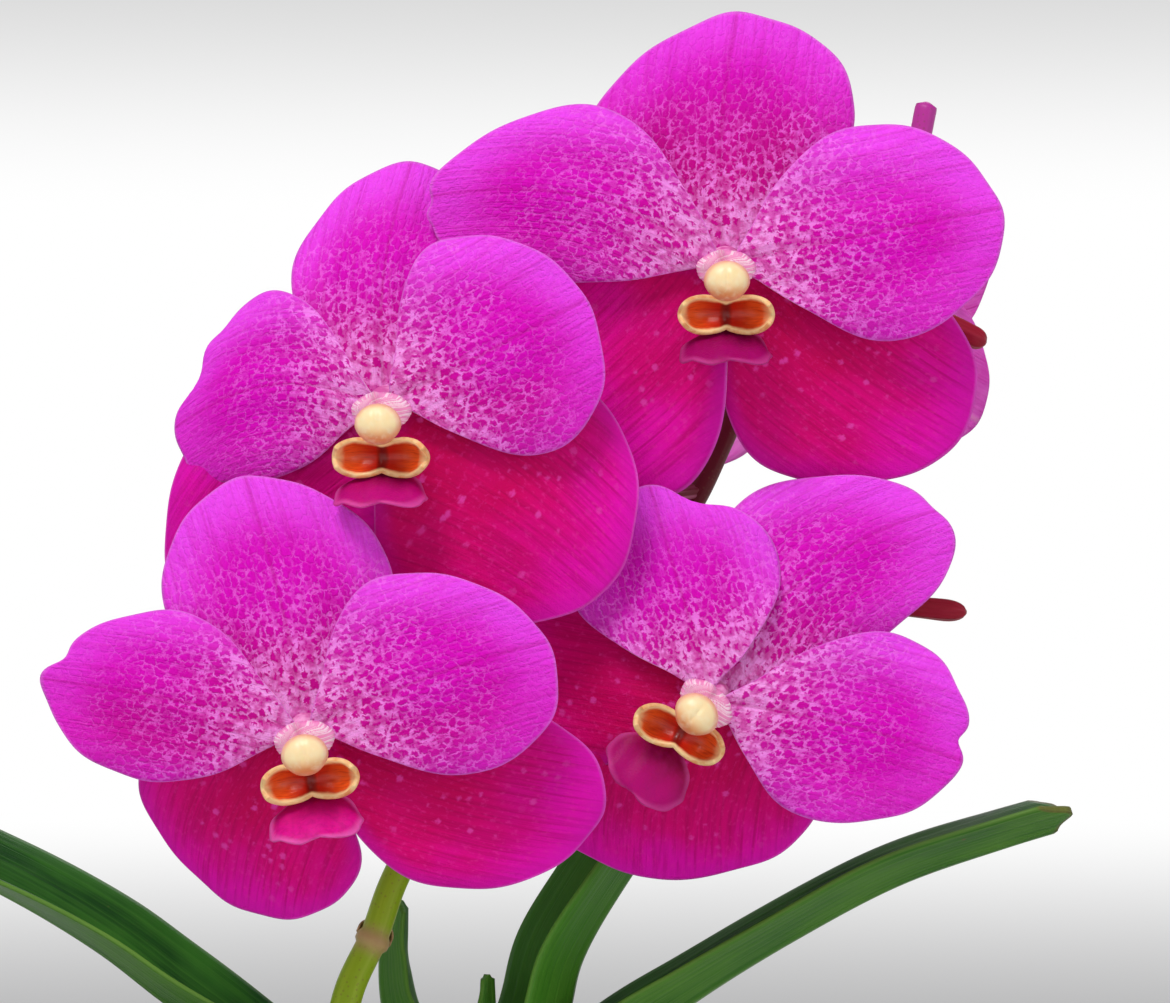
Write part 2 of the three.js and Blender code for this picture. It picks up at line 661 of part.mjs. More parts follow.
for (const bloom of BLOOMS) {
  const centre = vec(bloom.centre);
  const face = faceOf(bloom.yaw ?? 0, bloom.roll ?? 0);
  const hub = new THREE.CylinderGeometry(HUB_R - 1.8, HUB_R, HUB_FRONT + HUB_BACK, 9);
  hub.rotateX(Math.PI / 2).translate(0, 0, (HUB_FRONT - HUB_BACK) / 2);
  const basis = new THREE.Matrix4().makeBasis(face.right, face.up, face.forward).setPosition(centre);
  const parts = [solid(hub.applyMatrix4(basis))];
  for (const [kind, t] of Object.entries(bloom.tepals)) {
    const usual = kind.startsWith("petal") ? PETAL_SHAPE : SEPAL_SHAPE;
    const shape = { claw: t.claw ?? usual.claw, full: t.full ?? usual.full };
    parts.push(tepalBody(centre, face, t, shape, bloom.grid ?? TEPAL_ALONG));
  }
  place("bloom_" + bloom.name + "_tepals", joined(parts), "petal");

  const lip = bloom.lip;
  const mouth = faceOf((bloom.yaw ?? 0) + (lip.yaw ?? 0), (bloom.roll ?? 0) + (lip.roll ?? 0));
  const axes = [mouth.right, mouth.up, mouth.forward];
  const spot = (right, up, forward) => centre.clone().add(offsetIn(mouth, right, up, forward));
  const column = new THREE.CylinderGeometry(1, 0.84, COLUMN_LONG, 12).rotateX(Math.PI / 2);
  const shear = new THREE.Matrix4().makeBasis(
    mouth.right.clone().multiplyScalar(COLUMN_HALF_WIDE),
    mouth.up.clone().multiplyScalar(COLUMN_HALF_TALL),
    offsetIn(mouth, 0, -0.3, 1),
  );
  column.applyMatrix4(shear.setPosition(spot(0, -1.2, COLUMN_FOOT + COLUMN_LONG / 2)));
  place("bloom_" + bloom.name + "_column", solid(column), "column");
  const cap = ellipsoid(spot(0, -3.9, COLUMN_FOOT + COLUMN_LONG + GAP + CAP_HALF[2]), axes, CAP_HALF, 9, 6);
  place("bloom_" + bloom.name + "_cap", cap, "cap");

  const drop = lip.drop ?? LIP_DROP;
  const scoops = scoopsBody(mouth, spot(0, -drop, 3));
  place("bloom_" + bloom.name + "_side_lobes", scoops, "throat");
  const shapeOfLobe = { ...MID_LOBE, lean: lip.lean, wave: 0 };
  const tongue = tepalBody(spot(0, -drop - 2.2, 0.6), mouth, shapeOfLobe, LOBE_SHAPE, 4);
  place("bloom_" + bloom.name + "_mid_lobe", tongue, "lobe");
  const ends = [HUB_BACK + 6, HUB_BACK + GAP].map((back) => {
    return centre.clone().addScaledVector(face.forward, -back).toArray();
  });
  const pedicel = stalk([...bloom.pedicel, ...ends], [1.7, 1.7, 2, 2.5, 2.9], 7, 7).subtract(spikeRoom);
  place("bloom_" + bloom.name + "_pedicel", pedicel, "pedicel");
}

export default plant;
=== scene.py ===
# Potted vanda orchid: the plant with its open blooms, and the clay pot of bark that it grows in.
import bisect
import random
from functools import reduce
from math import atan2, copysign, cos, degrees, exp, hypot, pi, radians, sin, sqrt

import bmesh
import bpy
from mathutils import Matrix, Vector, noise


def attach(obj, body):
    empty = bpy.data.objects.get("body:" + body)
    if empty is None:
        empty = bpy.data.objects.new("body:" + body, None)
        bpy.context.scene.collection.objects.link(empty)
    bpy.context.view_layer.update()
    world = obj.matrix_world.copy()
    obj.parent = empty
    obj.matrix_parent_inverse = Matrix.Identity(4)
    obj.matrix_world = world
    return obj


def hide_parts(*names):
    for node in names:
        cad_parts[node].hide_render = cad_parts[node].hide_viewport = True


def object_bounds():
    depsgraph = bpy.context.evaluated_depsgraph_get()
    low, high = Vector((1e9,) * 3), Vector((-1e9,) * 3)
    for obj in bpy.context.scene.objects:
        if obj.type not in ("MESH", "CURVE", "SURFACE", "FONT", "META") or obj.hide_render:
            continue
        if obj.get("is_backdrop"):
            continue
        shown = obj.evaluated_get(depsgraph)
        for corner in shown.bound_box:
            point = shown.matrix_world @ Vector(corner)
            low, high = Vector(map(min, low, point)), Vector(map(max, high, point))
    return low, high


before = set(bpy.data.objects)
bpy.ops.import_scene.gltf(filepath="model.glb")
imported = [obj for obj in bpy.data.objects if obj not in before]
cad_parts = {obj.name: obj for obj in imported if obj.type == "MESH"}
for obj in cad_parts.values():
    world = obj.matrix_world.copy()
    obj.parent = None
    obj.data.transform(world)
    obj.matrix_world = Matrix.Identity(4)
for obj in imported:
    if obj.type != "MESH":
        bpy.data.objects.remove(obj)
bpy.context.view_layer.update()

# Camera. It stands level with the blooms, 0.9 m in front of them, with the long lens that gives
# the photograph's frame: 228 mm wide at the blooms.
SENSOR = 36
EYE_AWAY = 0.9
FRAME_WIDE = 0.22815
eye_data = bpy.data.cameras.new("photo_camera")
eye_data.sensor_width = SENSOR
eye_data.lens = SENSOR * EYE_AWAY / FRAME_WIDE
eye_data.clip_start = 0.05
eye_data.clip_end = 200
eye = bpy.data.objects.new("photo_camera", eye_data)
eye.location = (0.0266, -0.945, 0.415)
eye.rotation_euler = (radians(90), 0, 0)
bpy.context.scene.collection.objects.link(eye)
bpy.context.scene.camera = eye
bpy.context.scene.view_settings.view_transform = "Standard"


# Floor and backdrop. A plain pale studio floor that fades into white with distance, under a pale
# dome of light that turns a little greyer overhead.
def tint(red, green, blue):
    """A paint colour, given as on a printed colour card from 0 to 255."""
    parts = [c / 255 for c in (red, green, blue)]
    return (*[c / 12.92 if c < 0.04 else ((c + 0.055) / 1.055) ** 2.4 for c in parts], 1)


class Mix:
    """A network of shader nodes, built up step by step."""

    def __init__(self, tree):
        self.tree = tree

    def feed(self, node, sockets):
        for socket, value in sockets.items():
            if isinstance(value, bpy.types.NodeSocket):
                self.tree.links.new(value, node.inputs[socket])
            else:
                node.inputs[socket].default_value = value

    def node(self, kind, sockets, **settings):
        made = self.tree.nodes.new("ShaderNode" + kind)
        for key, value in settings.items():
            setattr(made, key, value)
        self.feed(made, sockets)
        return made

    def math(self, operation, *values):
        return self.node("Math", dict(enumerate(values)), operation=operation).outputs[0]

    def times(self, *values):
        return reduce(lambda a, b: self.math("MULTIPLY", a, b), values)

    def plus(self, *values):
        return reduce(lambda a, b: self.math("ADD", a, b), values)

    def band(self, value, low, high, start=0.0, end=1.0):
        """The value eased from start to end as it goes from low to high."""
        sockets = {"Value": value, "From Min": low, "From Max": high, "To Min": start, "To Max": end}
        return self.node("MapRange", sockets, interpolation_type="SMOOTHSTEP").outputs[0]

    def blend(self, share, *colours):
        """Two colours mixed; each comes from other nodes or is given as for tint."""
        first, second = [tint(*c) if isinstance(c, tuple) else c for c in colours]
        return self.node("Mix", {0: share, 6: first, 7: second}, data_type="RGBA").outputs[2]

    def grain(self, where, scale, detail=2.0, rough=0.5, twist=0.0):
        sockets = {"Vector": where, "Scale": scale, "Detail": detail, "Roughness": rough, "Distortion": twist}
        return self.node("TexNoise", sockets).outputs["Fac"]

    def cells(self, where, scale, feature="F1"):
        return self.node("TexVoronoi", {"Vector": where, "Scale": scale}, feature=feature)

    def place(self, scale=(1, 1, 1), source=None):
        """Places on the piece, stretched by scale; from its own object space unless source says."""
        if source is None:
            source = self.node("TexCoord", {}).outputs["Object"]
        return self.node("Mapping", {"Vector": source, "Scale": scale}).outputs[0]

    def flat_map(self):
        return self.node("UVMap", {}, uv_map="blade").outputs[0]

    def mark(self, name):
        """A number kept on the piece's points, such as how far along a blade they are."""
        return self.node("Attribute", {}, attribute_name=name).outputs["Fac"]

    def lines(self, across, count, along, stretch, *grain):
        """Fine lines that run along a piece, from two marks kept on its points."""
        at = {"X": self.times(self.mark(across), count), "Y": self.times(self.mark(along), stretch)}
        return self.grain(self.node("CombineXYZ", at).outputs[0], 1.0, *grain)

    def patchy(self, value, where, scale, amount):
        """The value, uneven from patch to patch."""
        patch = self.math("SUBTRACT", self.grain(where, scale), 0.5)
        return self.plus(value, self.times(patch, amount))


class Finish(Mix):
    """The finish of a surface, laid on coat by coat. Soft is how much light passes under the skin,
    how deep, and how far each of red, green and blue goes."""

    def __init__(self, name, rough, shine=0.5, soft=()):
        self.material = bpy.data.materials.new(name)
        self.material.use_nodes = True
        super().__init__(self.material.node_tree)
        self.surface = self.tree.nodes["Principled BSDF"]
        self.feed(self.surface, {"Roughness": rough, "Specular IOR Level": shine})
        self.feed(self.surface, dict(zip(("Subsurface Weight", "Subsurface Scale", "Subsurface Radius"), soft)))

    def base(self, value, low, high, first, second):
        """The first coat: from one colour to the other as the value goes from low to high."""
        self.colour = self.blend(self.band(value, low, high), first, second)

    def coat(self, value, low, high, colour, most=1.0):
        """Lays a colour over the last ones, thicker as the value goes from low to high."""
        self.spot(self.band(value, low, high, 0.0, most), colour)

    def spot(self, share, colour):
        """Lays a colour over the last ones, as thick as share says."""
        self.colour = self.blend(share, self.colour, colour)

    def close(self, height=None, strength=0, depth=0):
        """Ends with the colour so far, raised where height is 1 by depth in metres."""
        self.feed(self.surface, {"Base Color": self.colour})
        if height:
            sockets = {"Height": height, "Strength": strength, "Distance": depth}
            self.feed(self.surface, {"Normal": self.node("Bump", sockets).outputs[0]})


def fresh():
    """Nothing selected, so that what comes next is worked on alone."""
    if bpy.context.object and bpy.context.object.mode != "OBJECT":
        bpy.ops.object.mode_set(mode="OBJECT")
    bpy.ops.object.select_all(action="DESELECT")


def begun(add, **sizes):
    """A new primitive, with only itself selected."""
    fresh()
    add(**sizes)
    return bpy.context.object


FLOOR_R = 60
floor = begun(bpy.ops.mesh.primitive_circle_add, vertices=96, radius=FLOOR_R, fill_type="TRIFAN", location=(0, 0, 0))
floor.name = "studio_floor"
f = Finish("pale_floor", 0.9)
f.feed(f.surface, {"Base Color": tint(226, 226, 228)})
away = f.node("VectorMath", {0: f.place()}, operation="LENGTH").outputs["Value"]
glow = f.node("Emission", {"Color": (1, 1, 1, 1), "Strength": 1.0})
fade = f.node("MixShader", {0: f.band(away, 1.6, 5.2), 1: f.surface.outputs[0], 2: glow.outputs[0]})
f.feed(f.tree.nodes["Material Output"], {"Surface": fade.outputs[0]})
floor.data.materials.append(f.material)
floor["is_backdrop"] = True

sky = bpy.data.worlds.new("studio")
sky.use_nodes = True
bpy.context.scene.world = sky
dome = Mix(sky.node_tree)
height = dome.node("SeparateXYZ", {0: dome.node("TexCoord", {}).outputs["Generated"]}).outputs["Z"]
dimmed = dome.times(dome.band(height, 0.062, 0.125, 1.0, 0.66), dome.band(height, 0.12, 0.5, 1.0, 0.45))
dome.feed(dome.tree.nodes["Background"], {"Strength": dimmed, "Color": (1, 1, 1, 1)})


# Studio light: a large soft box high in front on the left, a weaker one on the right, and one
# behind and above that lights the rims.
def soft_box(name, place, aim, size, power):
    """A round area light at a place, aimed at another; in metres and watts."""
    data = bpy.data.lights.new(name, "AREA")
    data.shape = "DISK"
    data.size = size
    data.energy = power
    box = bpy.data.objects.new(name, data)
    box.location = place
    box.rotation_euler = (Vector(aim) - Vector(place)).to_track_quat("-Z", "Y").to_euler()
    bpy.context.scene.collection.objects.link(box)


soft_box("key_box", (-0.5, -1.1, 2.1), (0.02, -0.05, 0.40), 0.9, 27)
soft_box("fill_box", (1.7, -1.3, 0.9), (0.02, -0.05, 0.38), 1.2, 5)
soft_box("rim_box", (0.3, 1.5, 1.5), (0.02, 0.0, 0.38), 1.0, 6)


# Blooms: five waxy tepals each, two petals over a dorsal and two lateral sepals. They are grown as
# one flower, joined in the middle on a short receptacle. Sizes are in millimetres and degrees.
def sized(turn, long, wide, bend, skew, lean, off, **more):
    """One tepal: the way it points, its size, how far its end and its middle swing sideways, how far
    it tips forward, and how far forward it stands. More holds what only some tepals have."""
    return {"turn": turn, "long": long, "wide": wide, "bend": bend, "skew": skew, "lean": lean, "off": off, **more}


# In these rows, deep shifts the painted light and shade of a whole tepal: darker above 0, lighter below 0.
BLOOMS = [
    {
        "name": "top", "centre": (54.1, -40, 461.6),
        "tepals": {
            "dorsal": sized(-4, 49, 53, 6, -0.5, -4, -1, tip=1.2, deep=0.8),
            "petal_left": sized(-71.5, 59.5, 36, -6, 5, 4, 1.5, nicks=[(-3, 1.6, 8), (-22, 0.9, 7)]),
            "petal_right": sized(76, 54.5, 43, 2.5, 0.5, 4, 1.5, deep=-0.4),
            "lateral_left": sized(-126, 49.5, 48, -6, -3.4, -2, -1.6, claw=0.2, full=0.85,
                                  nicks=[(-100, -2.2, 42)], deep=-0.3),
            "lateral_right": sized(134, 57.5, 47.5, -6, 1, -4, -3),
        },
        # The lip's tone value is how lit its mid-lobe is painted: 0 is the painted shade of a lip in shadow, 1 a
        # fully lit lip.
        "lip": {"lean": 64, "tone": 0},
        "pedicel": [(59.5, -3.5, 440), (59, -14, 449), (56, -26, 457)],
    },
    {
        "name": "left", "centre": (-12, -54, 433.6),
        "tepals": {
            "dorsal": sized(0.5, 51.5, 36, 4, -2, -18, -1),
            "petal_left": sized(-89, 44, 37, -5, 5, -12, 1.5, arch=6,
                                nicks=[(28, 3.6, 13), (54, 1.2, 9), (-20, 1.0, 12)]),
            "petal_right": sized(59, 43.5, 46.5, 2.5, 0.8, 6, 1.5),
            "lateral_left": sized(-130, 58, 38, -6, 3, -10, -3, nicks=[(-112, -4.5, 45)], deep=-0.5),
            "lateral_right": sized(124, 55.5, 46, 2, -2.5, 0, -1.6, inner=20),
        },
        "lip": {"lean": 66, "yaw": -5, "tone": 0.45},
        "pedicel": [(50, -5.5, 417), (34, -18, 416), (8, -36, 422), (-7, -46, 430)],
    },
    {
        "name": "low", "centre": (-26.8, -64, 371),
        "tepals": {
            "dorsal": sized(-10, 50, 44, -3.5, 0.3, -5, -1),
            "petal_left": sized(-78, 50, 33, -0.5, 1, 0, 1.5, tip=2, nicks=[(17, 1.6, 8)], deep=0.5),
            "petal_right": sized(60, 48.5, 42.5, 8, 0.5, 5, 1.5),
            "lateral_left": sized(-153, 40.3, 47, -1.5, 2.8, -10, -1.6, arch=12, nicks=[(42, 0.9, 24)]),
            "lateral_right": sized(111, 59, 39, -4.5, 1.5, -4, -3),
        },
        "lip": {"lean": 57, "roll": -8, "drop": 9.2, "tone": 1},
        "pedicel": [(-5, -11, 353), (-10, -24, 358), (-20, -44, 366)],
    },
    {
        "name": "right", "centre": (51.3, -46, 376.9), "roll": 45,
        "tepals": {
            "dorsal": sized(0, 59, 38.5, 6, -5, -7, -1, tip=0, nicks=[(-4, 1.2, 11)]),
            "petal_left": sized(-56, 43, 41, -4, -1, -6, 1.5, arch=3, nicks=[(28, 2.8, 18)], deep=-0.3),
            "petal_right": sized(70, 49.3, 40, -9.5, -3.8, 2, 1.5, nicks=[(-10, 1.9, 6.5), (-42, 0.8, 14)]),
            "lateral_left": sized(-125, 48, 38, 0, 0, -10, -1.6),
            "lateral_right": sized(137, 39.7, 56, 6, 4, -10, -3, arch=12),
        },
        "lip": {"lean": 24, "roll": -4, "yaw": -4, "drop": 9.2, "tone": 0.25, "askew": 16},
        "pedicel": [(23, -8, 389), (32, -16, 387), (44, -32, 381)],
    },
    {
        "name": "back_top", "centre": (69, 45, 458.2), "yaw": 176,
        "tepals": {
            "dorsal": sized(4, 46, 36, 0, 0, -6, -1),
            "petal_left": sized(-74, 46, 38, 0, 0, -4, 1.5),
            "petal_right": sized(70, 47, 37, 0, 0, -4, 1.5),
            "lateral_left": sized(-122, 49, 40, 0, 0, -4, -1.6),
            "lateral_right": sized(130, 49, 40, 0, 0, -6, -3),
        },
        "lip": {"lean": 40},
        "pedicel": [(67, -1, 456), (68, 12, 460), (70, 28, 461)],
    },
    {
        "name": "back_left", "centre": (1.9, 45, 424), "yaw": -168, "roll": -6,
        "tepals": {
            "dorsal": sized(-3, 45, 37, 0, 0, -5, -1),
            "petal_left": sized(-70, 46, 37, 0, 0, -6, 1.5),
            "petal_right": sized(72, 45, 38, 0, 0, -3, 1.5),
            "lateral_left": sized(-128, 48, 40, 0, 0, -5, -1.6),
            "lateral_right": sized(124, 48, 40, 0, 0, -5, -3),
        },
        "lip": {"lean": 40},
        "pedicel": [(12, -9, 376.5), (10, 8, 384), (5, 24, 402), (2, 35, 418)],
    },
]
MM = 0.001
TEPAL_THICK = 0.9
TEPAL_START = 1.5
TEPAL_CROWN = 2
TEPAL_ARCH = 3
TEPAL_TIP = 0.5
TEPAL_ROUGH = 0.25
TEPAL_WAVE = 0.8
RUFFLE = 0.45
CHANNEL = 0.55
FOLDS = 0.3
RAISED_SPAN = 20
MAP_UNIT = 100
PETAL_SHAPE = (0.25, 0.6)
SEPAL_SHAPE = (0.45, 0.6)
HUB_R = 4.6
HUB_BACK = 4.4
HUB_FRONT = 1.6
HUB_TAPER = 1.8
HUB_ROUND = 1.1
HUB_SIDES = 28


def eased(x):
    x = min(max(x, 0), 1)
    return x * x * (3 - 2 * x)


def facing(*aims):
    """Which way a bloom looks, by the yaw and roll in its rows: its right, its up and its forward."""
    yaw, roll = [sum(aim.get(key, 0) for aim in aims) for key in ("yaw", "roll")]
    a = radians(yaw)
    forward = Vector((sin(a), -cos(a), 0))
    level = Vector((cos(a), sin(a), 0))
    turn = Matrix.Rotation(radians(-roll), 3, forward)
    return turn @ level, turn @ Vector((0, 0, 1)), forward


def half_width(s, shape):
    """How wide a tepal is there, from its narrow claw to its rounded end."""
    claw, full = shape
    rise = min(s / full, 1)
    return sqrt(max(1 - (2 * s - 1) ** 2, 0)) * (claw + (1 - claw) * rise * (2 - rise))


def keep(piece, **marks):
    """Keeps numbers on the piece's points for its finish: one for each point, or one for all."""
    for name, values in marks.items():
        values = values if isinstance(values, list) else [values] * len(piece.data.vertices)
        piece.data.attributes.new(name, "FLOAT", "POINT").data.foreach_set("value", values)


def keep_map(piece, places):
    """Lays the flat pattern out on the blade: one place, in tenths of a metre, for each point."""
    layer = piece.data.uv_layers[0]
    layer.name = "blade"
    for loop in piece.data.loops:
        layer.data[loop.index].uv = places[loop.vertex_index]


def edit(select="SELECT"):
    """Goes into edit mode, with everything selected or else nothing."""
    bpy.ops.object.mode_set(mode="EDIT")
    bpy.ops.mesh.select_all(action=select)


def wear(piece, *finishes):
    """Puts the finishes on the piece and smooths its shading."""
    for finish in finishes:
        piece.data.materials.append(finish.material)
    piece.data.shade_smooth()


def apply(piece, kind, **settings):
    """Adds a modifier and applies it."""
    modifier = piece.modifiers.new(kind.lower(), kind)
    for key, value in settings.items():
        setattr(modifier, key, value)
    bpy.context.view_layer.objects.active = piece
    bpy.ops.object.modifier_apply(modifier=modifier.name)


def thicken(blade, thick, shares, finishes):
    """Gives a sheet its thickness, a share of it at each point, with its second finish behind."""
    thin = blade.vertex_groups.new(name="thin")
    for i, share in enumerate(shares):
        thin.add([i], share, "REPLACE")
    wear(blade, *finishes)
    apply(blade, "SOLIDIFY", thickness=thick * MM, offset=0, vertex_group="thin",
          material_offset=1, material_offset_rim=1)


def tepal(name, centre, face, t, shape, finishes, across=40, along=52):
    """One blade: a grid pulled into a rounded leaf, arched and waved, then given its thickness."""
    right, up, forward = face
    turn, lean = radians(t["turn"]), radians(t["lean"])
    out = right * sin(turn) + up * cos(turn)
    side_way = right * cos(turn) - up * sin(turn)
    skin = forward * cos(lean) - out * sin(lean)
    fullest = max(half_width(i / 100, shape) for i in range(101))
    start = t.get("start", TEPAL_START)
    blade = begun(bpy.ops.mesh.primitive_grid_add, x_subdivisions=across, y_subdivisions=along, size=2)
    blade.name = name
    across_by, along_by, rim_by, raised_by, places = [], [], [], [], []
    drift = 0.37 * (len(name) + t["turn"])
    for point in blade.data.vertices:
        p, q, _ = point.co
        x = p * sqrt(1 - q * q / 2)
        y = q * sqrt(1 - p * p / 2)
        v = max(-1, min(1, x / sqrt(max(1 - y * y, 1e-9))))
        s = (1 + y) / 2
        w = v * half_width(s, shape) / fullest
        r = sqrt(x * x + y * y)
        spin = degrees(atan2(x, y))
        half = t["wide"] / 2 + (t.get("inner", 0) * (1 - s) if w > 0 else 0)
        side = w * half + t["bend"] * s * s + t["skew"] * sin(pi * s)
        reach = start + (t["long"] - start) * s
        # The cut of the rim: a small point at the end, nicks, and a slight unevenness all round.
        rim = r ** 8
        cut = sum(deep * exp(-(((spin - at) / span) ** 2)) for at, deep, span in t.get("nicks", []))
        cut += t.get("rough", TEPAL_ROUGH) * sin(5 * radians(spin) + turn * 7)
        cut += 0.12 * sin(11 * radians(spin) + turn * 3)
        side -= cut * rim * x
        reach -= cut * rim * y
        reach += t.get("tip", TEPAL_TIP) * exp(-((spin / 13) ** 2)) * rim * y
        back = t.get("crown", TEPAL_CROWN) * w * w + t.get("arch", TEPAL_ARCH) * s * s
        wave = t.get("wave", TEPAL_WAVE) * w * w * sin(3 * pi * s + turn) * copysign(1, v)
        # Ruffle near the rim, the channel over the middle vein and two soft folds beside it.
        wave += RUFFLE * r ** 5 * sin(6 * radians(spin) + turn * 5)
        wave -= CHANNEL * exp(-((w / 0.07) ** 2)) * (1 - s) * eased(s / 0.1)
        wave += FOLDS * cos(abs(w) * 9) * sin(pi * s)
        spot = centre + out * (reach * cos(lean)) + forward * (reach * sin(lean) + t["off"])
        point.co = (spot + side_way * side + skin * (wave - back)) * MM
        across_by.append(w)
        along_by.append(s)
        rim_by.append(r)
        # How high the point stands above the middle of its blade, kept for the petal finish's painted light from
        # above.
        raised_by.append((out.z * (reach - (start + t["long"]) / 2) + side_way.z * side) / RAISED_SPAN)
        places.append(((w * t["wide"] / 2 + drift) / MAP_UNIT, reach / MAP_UNIT))
    keep_map(blade, places)
    keep(blade, across=across_by, along=along_by, rim=rim_by, raised=raised_by, deep=t.get("deep", 0))
    thicken(blade, TEPAL_THICK, [1 - 0.6 * r ** 10 for r in rim_by], finishes)
    return blade


def joined(pieces):
    """The pieces as one object."""
    fresh()
    for piece in pieces:
        piece.select_set(True)
    bpy.context.view_layer.objects.active = pieces[0]
    if len(pieces) > 1:
        bpy.ops.object.join()
    return pieces[0]


def fitted(piece, slot, *nodes):
    """Hangs the finished piece on the plant in place of its plain solids."""
    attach(piece, "root")
    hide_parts(*nodes)


def bloom_piece(bloom, part, slot, piece):
    """Names one piece of a bloom and hangs it on the plant."""
    piece.name = f"{bloom['name']}_{part}"
    fitted(piece, slot, f"bloom_{bloom['name']}_{part}")


# Petal skin: magenta spots on a pale lilac ground, so close that the ground is a net of pale lines
# between them, thinner and fainter outwards. Fine streaks run along the blade and its rim is
# paler, with a thin painted highlight at the very edge. Painted light: the blade is painted brighter
# and more lilac where it stands higher on the blade and deeper magenta lower down, as if lit from
# above. Places on the blade are in tenths of a metre.
f = petal_skin = Finish("petal_skin", 0.55, 0.07, (0.1, 0.002, (1.0, 0.2, 0.7)))
blade = f.flat_map()
s, r = f.mark("along"), f.mark("rim")
grown = f.patchy(s, blade, 14.0, 0.7)
# A ragged net of pale lines between the spots, thinner and fainter further out.
shake = f.node("TexNoise", {"Vector": blade, "Scale": 120.0, "Detail": 2.0}).outputs["Color"]
shake = f.node("VectorMath", {0: shake, "Scale": 0.017}, operation="SCALE").outputs[0]
shaken = f.node("VectorMath", {0: f.place((1.1, 0.8, 1), blade), 1: shake}).outputs[0]
net = f.cells(shaken, 60.0, feature="DISTANCE_TO_EDGE").outputs["Distance"]
line = f.plus(f.band(grown, -0.05, 0.35, 0.19, 0.0), f.band(grown, 0.2, 0.9, 0.12, 0.02))
ground = f.times(f.band(f.math("SUBTRACT", net, line), 0.085, -0.06),
                 f.band(f.grain(blade, 48.0), 0.36, 0.6, 0.25, 1.0), f.band(grown, 0.25, 1.05, 1.0, 0.22))
# Painted light and shade: higher on the blade lighter and more lilac, lower down deeper magenta; deep moves a whole
# tepal's painted light darker or lighter.
painted_top_light = f.math("SUBTRACT", f.patchy(f.mark("raised"), blade, 7.0, 0.8), f.mark("deep"))
lilac = f.blend(f.band(painted_top_light, -0.9, 0.8), (236, 40, 214), (248, 82, 254))
f.base(painted_top_light, -1.1, 0.1, (198, 2, 142), (222, 4, 194))
f.coat(painted_top_light, 0.3, 1.3, lilac, 0.35)
f.coat(r, 0.45, 0.97, lilac, 0.75)
pale = f.blend(f.band(s, 0.02, 0.5), (254, 170, 242), f.blend(0.7, f.colour, (252, 122, 244)))
f.spot(f.band(s, 0.1, 0.6, 0.8, 0.0), (198, 0, 134))
f.spot(ground, pale)
streaks = f.lines("across", 30.0, "along", 3.0, 3.0, 0.6, 0.3)
f.coat(streaks, 0.4, 0.7, (196, 0, 146), 0.3)
f.coat(f.math("ABSOLUTE", f.mark("across")), 0.035, 0.0, (180, 0, 120), 0.35)
# Painted highlight: a thin pale lilac line along the very edge.
f.coat(r, 0.972, 1.0, (234, 116, 226), 0.7)
f.close(f.plus(f.times(streaks, 0.9), f.times(f.band(net, 0.0, 0.3), 0.3), f.times(f.grain(blade, 260.0, 1.0), 0.3)),
        0.7, 0.0006)


# Lateral sepal skin: deeper crimson magenta with a few pale spots near the middle vein. It is
# deepest near the middle and brighter and more lilac outwards, partly its own colour and partly
# painted shade and light, and a thin painted highlight runs along the edge.
f = sepal_skin = Finish("sepal_skin", 0.55, 0.07, (0.1, 0.002, (1.0, 0.2, 0.6)))
blade = f.flat_map()
s, r = f.mark("along"), f.mark("rim")
dots = f.cells(blade, 34.0)
chosen = f.node("SeparateColor", {"Color": dots.outputs["Color"]})
far_dot = f.math("SUBTRACT", dots.outputs["Distance"], f.times(chosen.outputs[1], 0.1))
dot = f.times(f.band(f.patchy(far_dot, blade, 170.0, 0.3), 0.25, 0.06), f.band(chosen.outputs[0], 0.35, 0.45),
              f.band(f.math("ABSOLUTE", f.mark("across")), 0.8, 0.3, 0.05, 0.75), f.band(s, 0.95, 0.75))
streaks = f.lines("across", 26.0, "along", 2.5, 3.0, 0.6, 0.3)
# Partly own colour, partly painted shade near the middle and painted light outwards; deep shifts a whole sepal's
# painted light.
out_to = f.math("SUBTRACT", f.patchy(f.plus(s, f.times(r, 0.35)), blade, 8.0, 0.6), f.mark("deep"))
f.base(out_to, 0.3, 0.8, (206, 0, 90), (220, 2, 120))
f.coat(out_to, 0.7, 1.3, (234, 12, 180))
f.coat(streaks, 0.4, 0.7, (172, 0, 78), 0.5)
f.coat(f.grain(f.place((1.2, 0.7, 1), blade), 95.0, 3.0, 0.6), 0.52, 0.72, (236, 50, 160), 0.4)
f.spot(dot, (232, 70, 180))
f.coat(r, 0.78, 0.99, (216, 20, 176), 0.6)
# Painted highlight: a thin pale line along the very edge.
f.coat(r, 0.975, 1.0, (230, 96, 208), 0.7)
f.close(f.plus(f.times(streaks, 0.8), f.times(f.grain(blade, 260.0, 1.0), 0.35)), 0.55, 0.0006)


